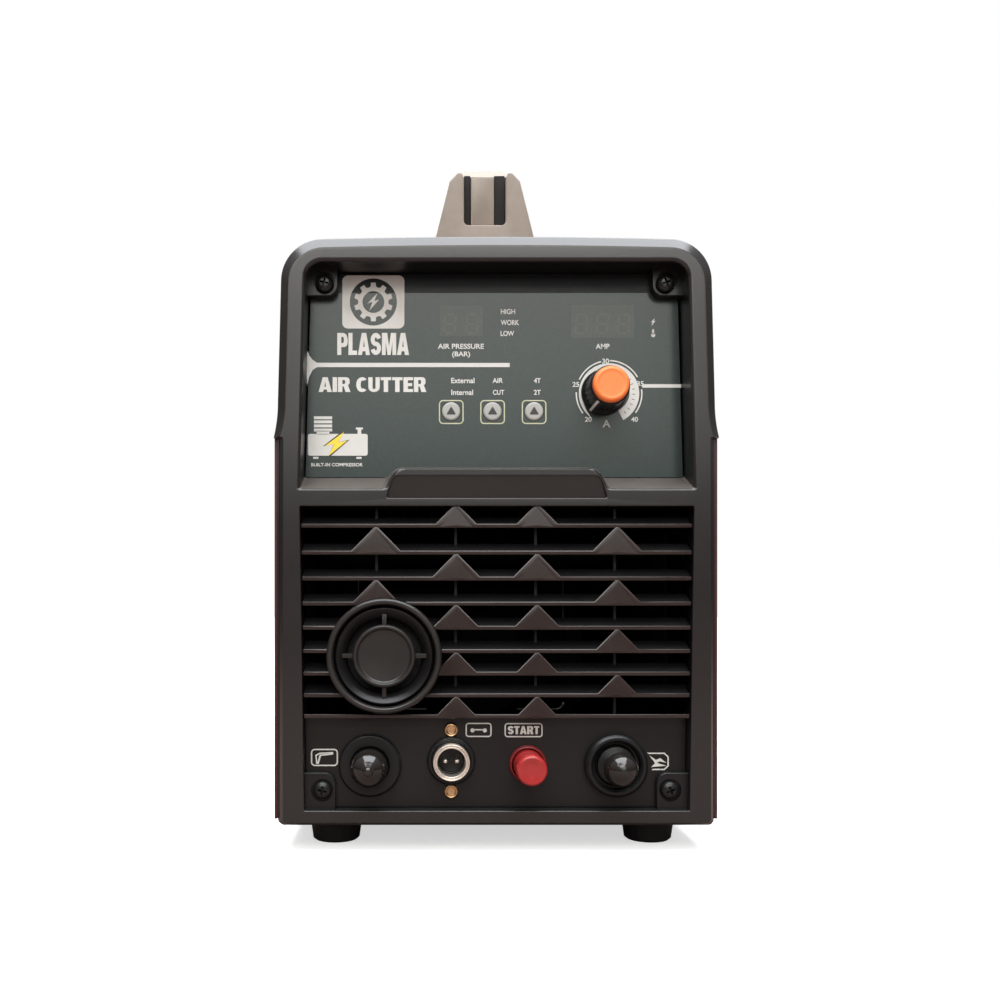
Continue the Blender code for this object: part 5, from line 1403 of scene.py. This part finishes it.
def studio_world():
    """White to the camera; to everything else a soft dome, dark low down and bright overhead."""
    world = bpy.data.worlds.new("studio")
    bpy.context.scene.world = world
    world.use_nodes = True
    tree = world.node_tree
    shown = tree.nodes["Background"]
    feed(shown, {"Color": (1, 1, 1, 1), "Strength": 1.0})
    place = shader_node(tree, "TexCoord", {})["Generated"]
    ramp = tree.nodes.new("ShaderNodeValToRGB")
    feed(ramp, {"Fac": shader_node(tree, "SeparateXYZ", {"Vector": place})["Z"]})
    low, high = ramp.color_ramp.elements
    low.position, low.color = 0.0, (0.035, 0.034, 0.034, 1)
    high.position, high.color = 0.9, (0.95, 0.98, 1.0, 1)
    for height, level in ((0.10, 0.10), (0.22, 0.30), (0.55, 0.65)):
        ramp.color_ramp.elements.new(height).color = (level, level * 0.99, level * 0.97, 1)
    lit = shader_node(tree, "Background", {"Color": ramp.outputs["Color"], "Strength": 0.6})["Background"]
    seen = shader_node(tree, "LightPath", {})["Is Camera Ray"]
    mix = shader_node(tree, "MixShader", {"Fac": seen, 1: lit, 2: shown.outputs["Background"]})
    feed(tree.nodes["World Output"], {"Surface": mix["Shader"]})


def stage():
    bm = bmesh.new()
    bmesh.ops.create_grid(bm, x_segments=1, y_segments=1, size=FLOOR_HALF)
    add("floor", mesh_from(bm, "floor"), floor_material(), body=None)
    studio_world()
    for name, place, aim, size, power, colour in (
        ("top_softbox", (0.0, FRONT - 0.15, 1.10), (0, FRONT - 0.15, 0), (1.2, 1.4), 40, (0.93, 0.96, 1.0)),
        ("high_softbox", (-0.12, FRONT - 1.2, 0.95), (0, FRONT, 0.2), (1.2, 0.35), 8, (1.0, 0.98, 0.94)),
        (
            "front_softbox", (0.085, FRONT - 1.5, 0.550), (0.085, FRONT, 0.550), (1.15, 0.35), 2.75,
            (0.96, 1.0, 0.95),
        ),
        (
            "upper_softbox", (0.085, FRONT - 1.5, 0.840), (0.085, FRONT, 0.840), (1.15, 0.14), 2.2,
            (1.0, 1.0, 0.94),
        ),
    ):
        data = bpy.data.lights.new(name, "AREA")
        data.shape = "RECTANGLE"
        data.size, data.size_y = size
        data.energy = power
        data.color = colour
        lamp = in_scene(name, data)
        lamp.location = place
        lamp.rotation_euler = (Vector(aim) - Vector(place)).to_track_quat("-Z", "Y").to_euler()
        lamp.visible_camera = False

    camera = bpy.data.cameras.new("camera")
    camera.sensor_width = 36
    camera.lens = camera.sensor_width  # a 1000 x 1000 picture spans its own distance
    camera.shift_x, camera.shift_y = VIEW_SHIFT
    camera.dof.use_dof = False
    view = in_scene("camera", camera)
    view.location = (VIEW_OFFSET, FRONT - CAMERA_DISTANCE, VIEW_HEIGHT)
    view.rotation_euler = (radians(90), 0, 0)
    bpy.context.scene.camera = view
    bpy.context.scene.view_settings.view_transform = "Standard"


front_bezel()
front_grille()
air_intake()
connectors()
switch_socket()
start_button()
bezel_screws()
knob()
keys()
film_print()
panel_print()
handle()
case_cover()
dust_filter()
fan_guard()
rear_bezel()
panel_screws()
carried_over()
stage()
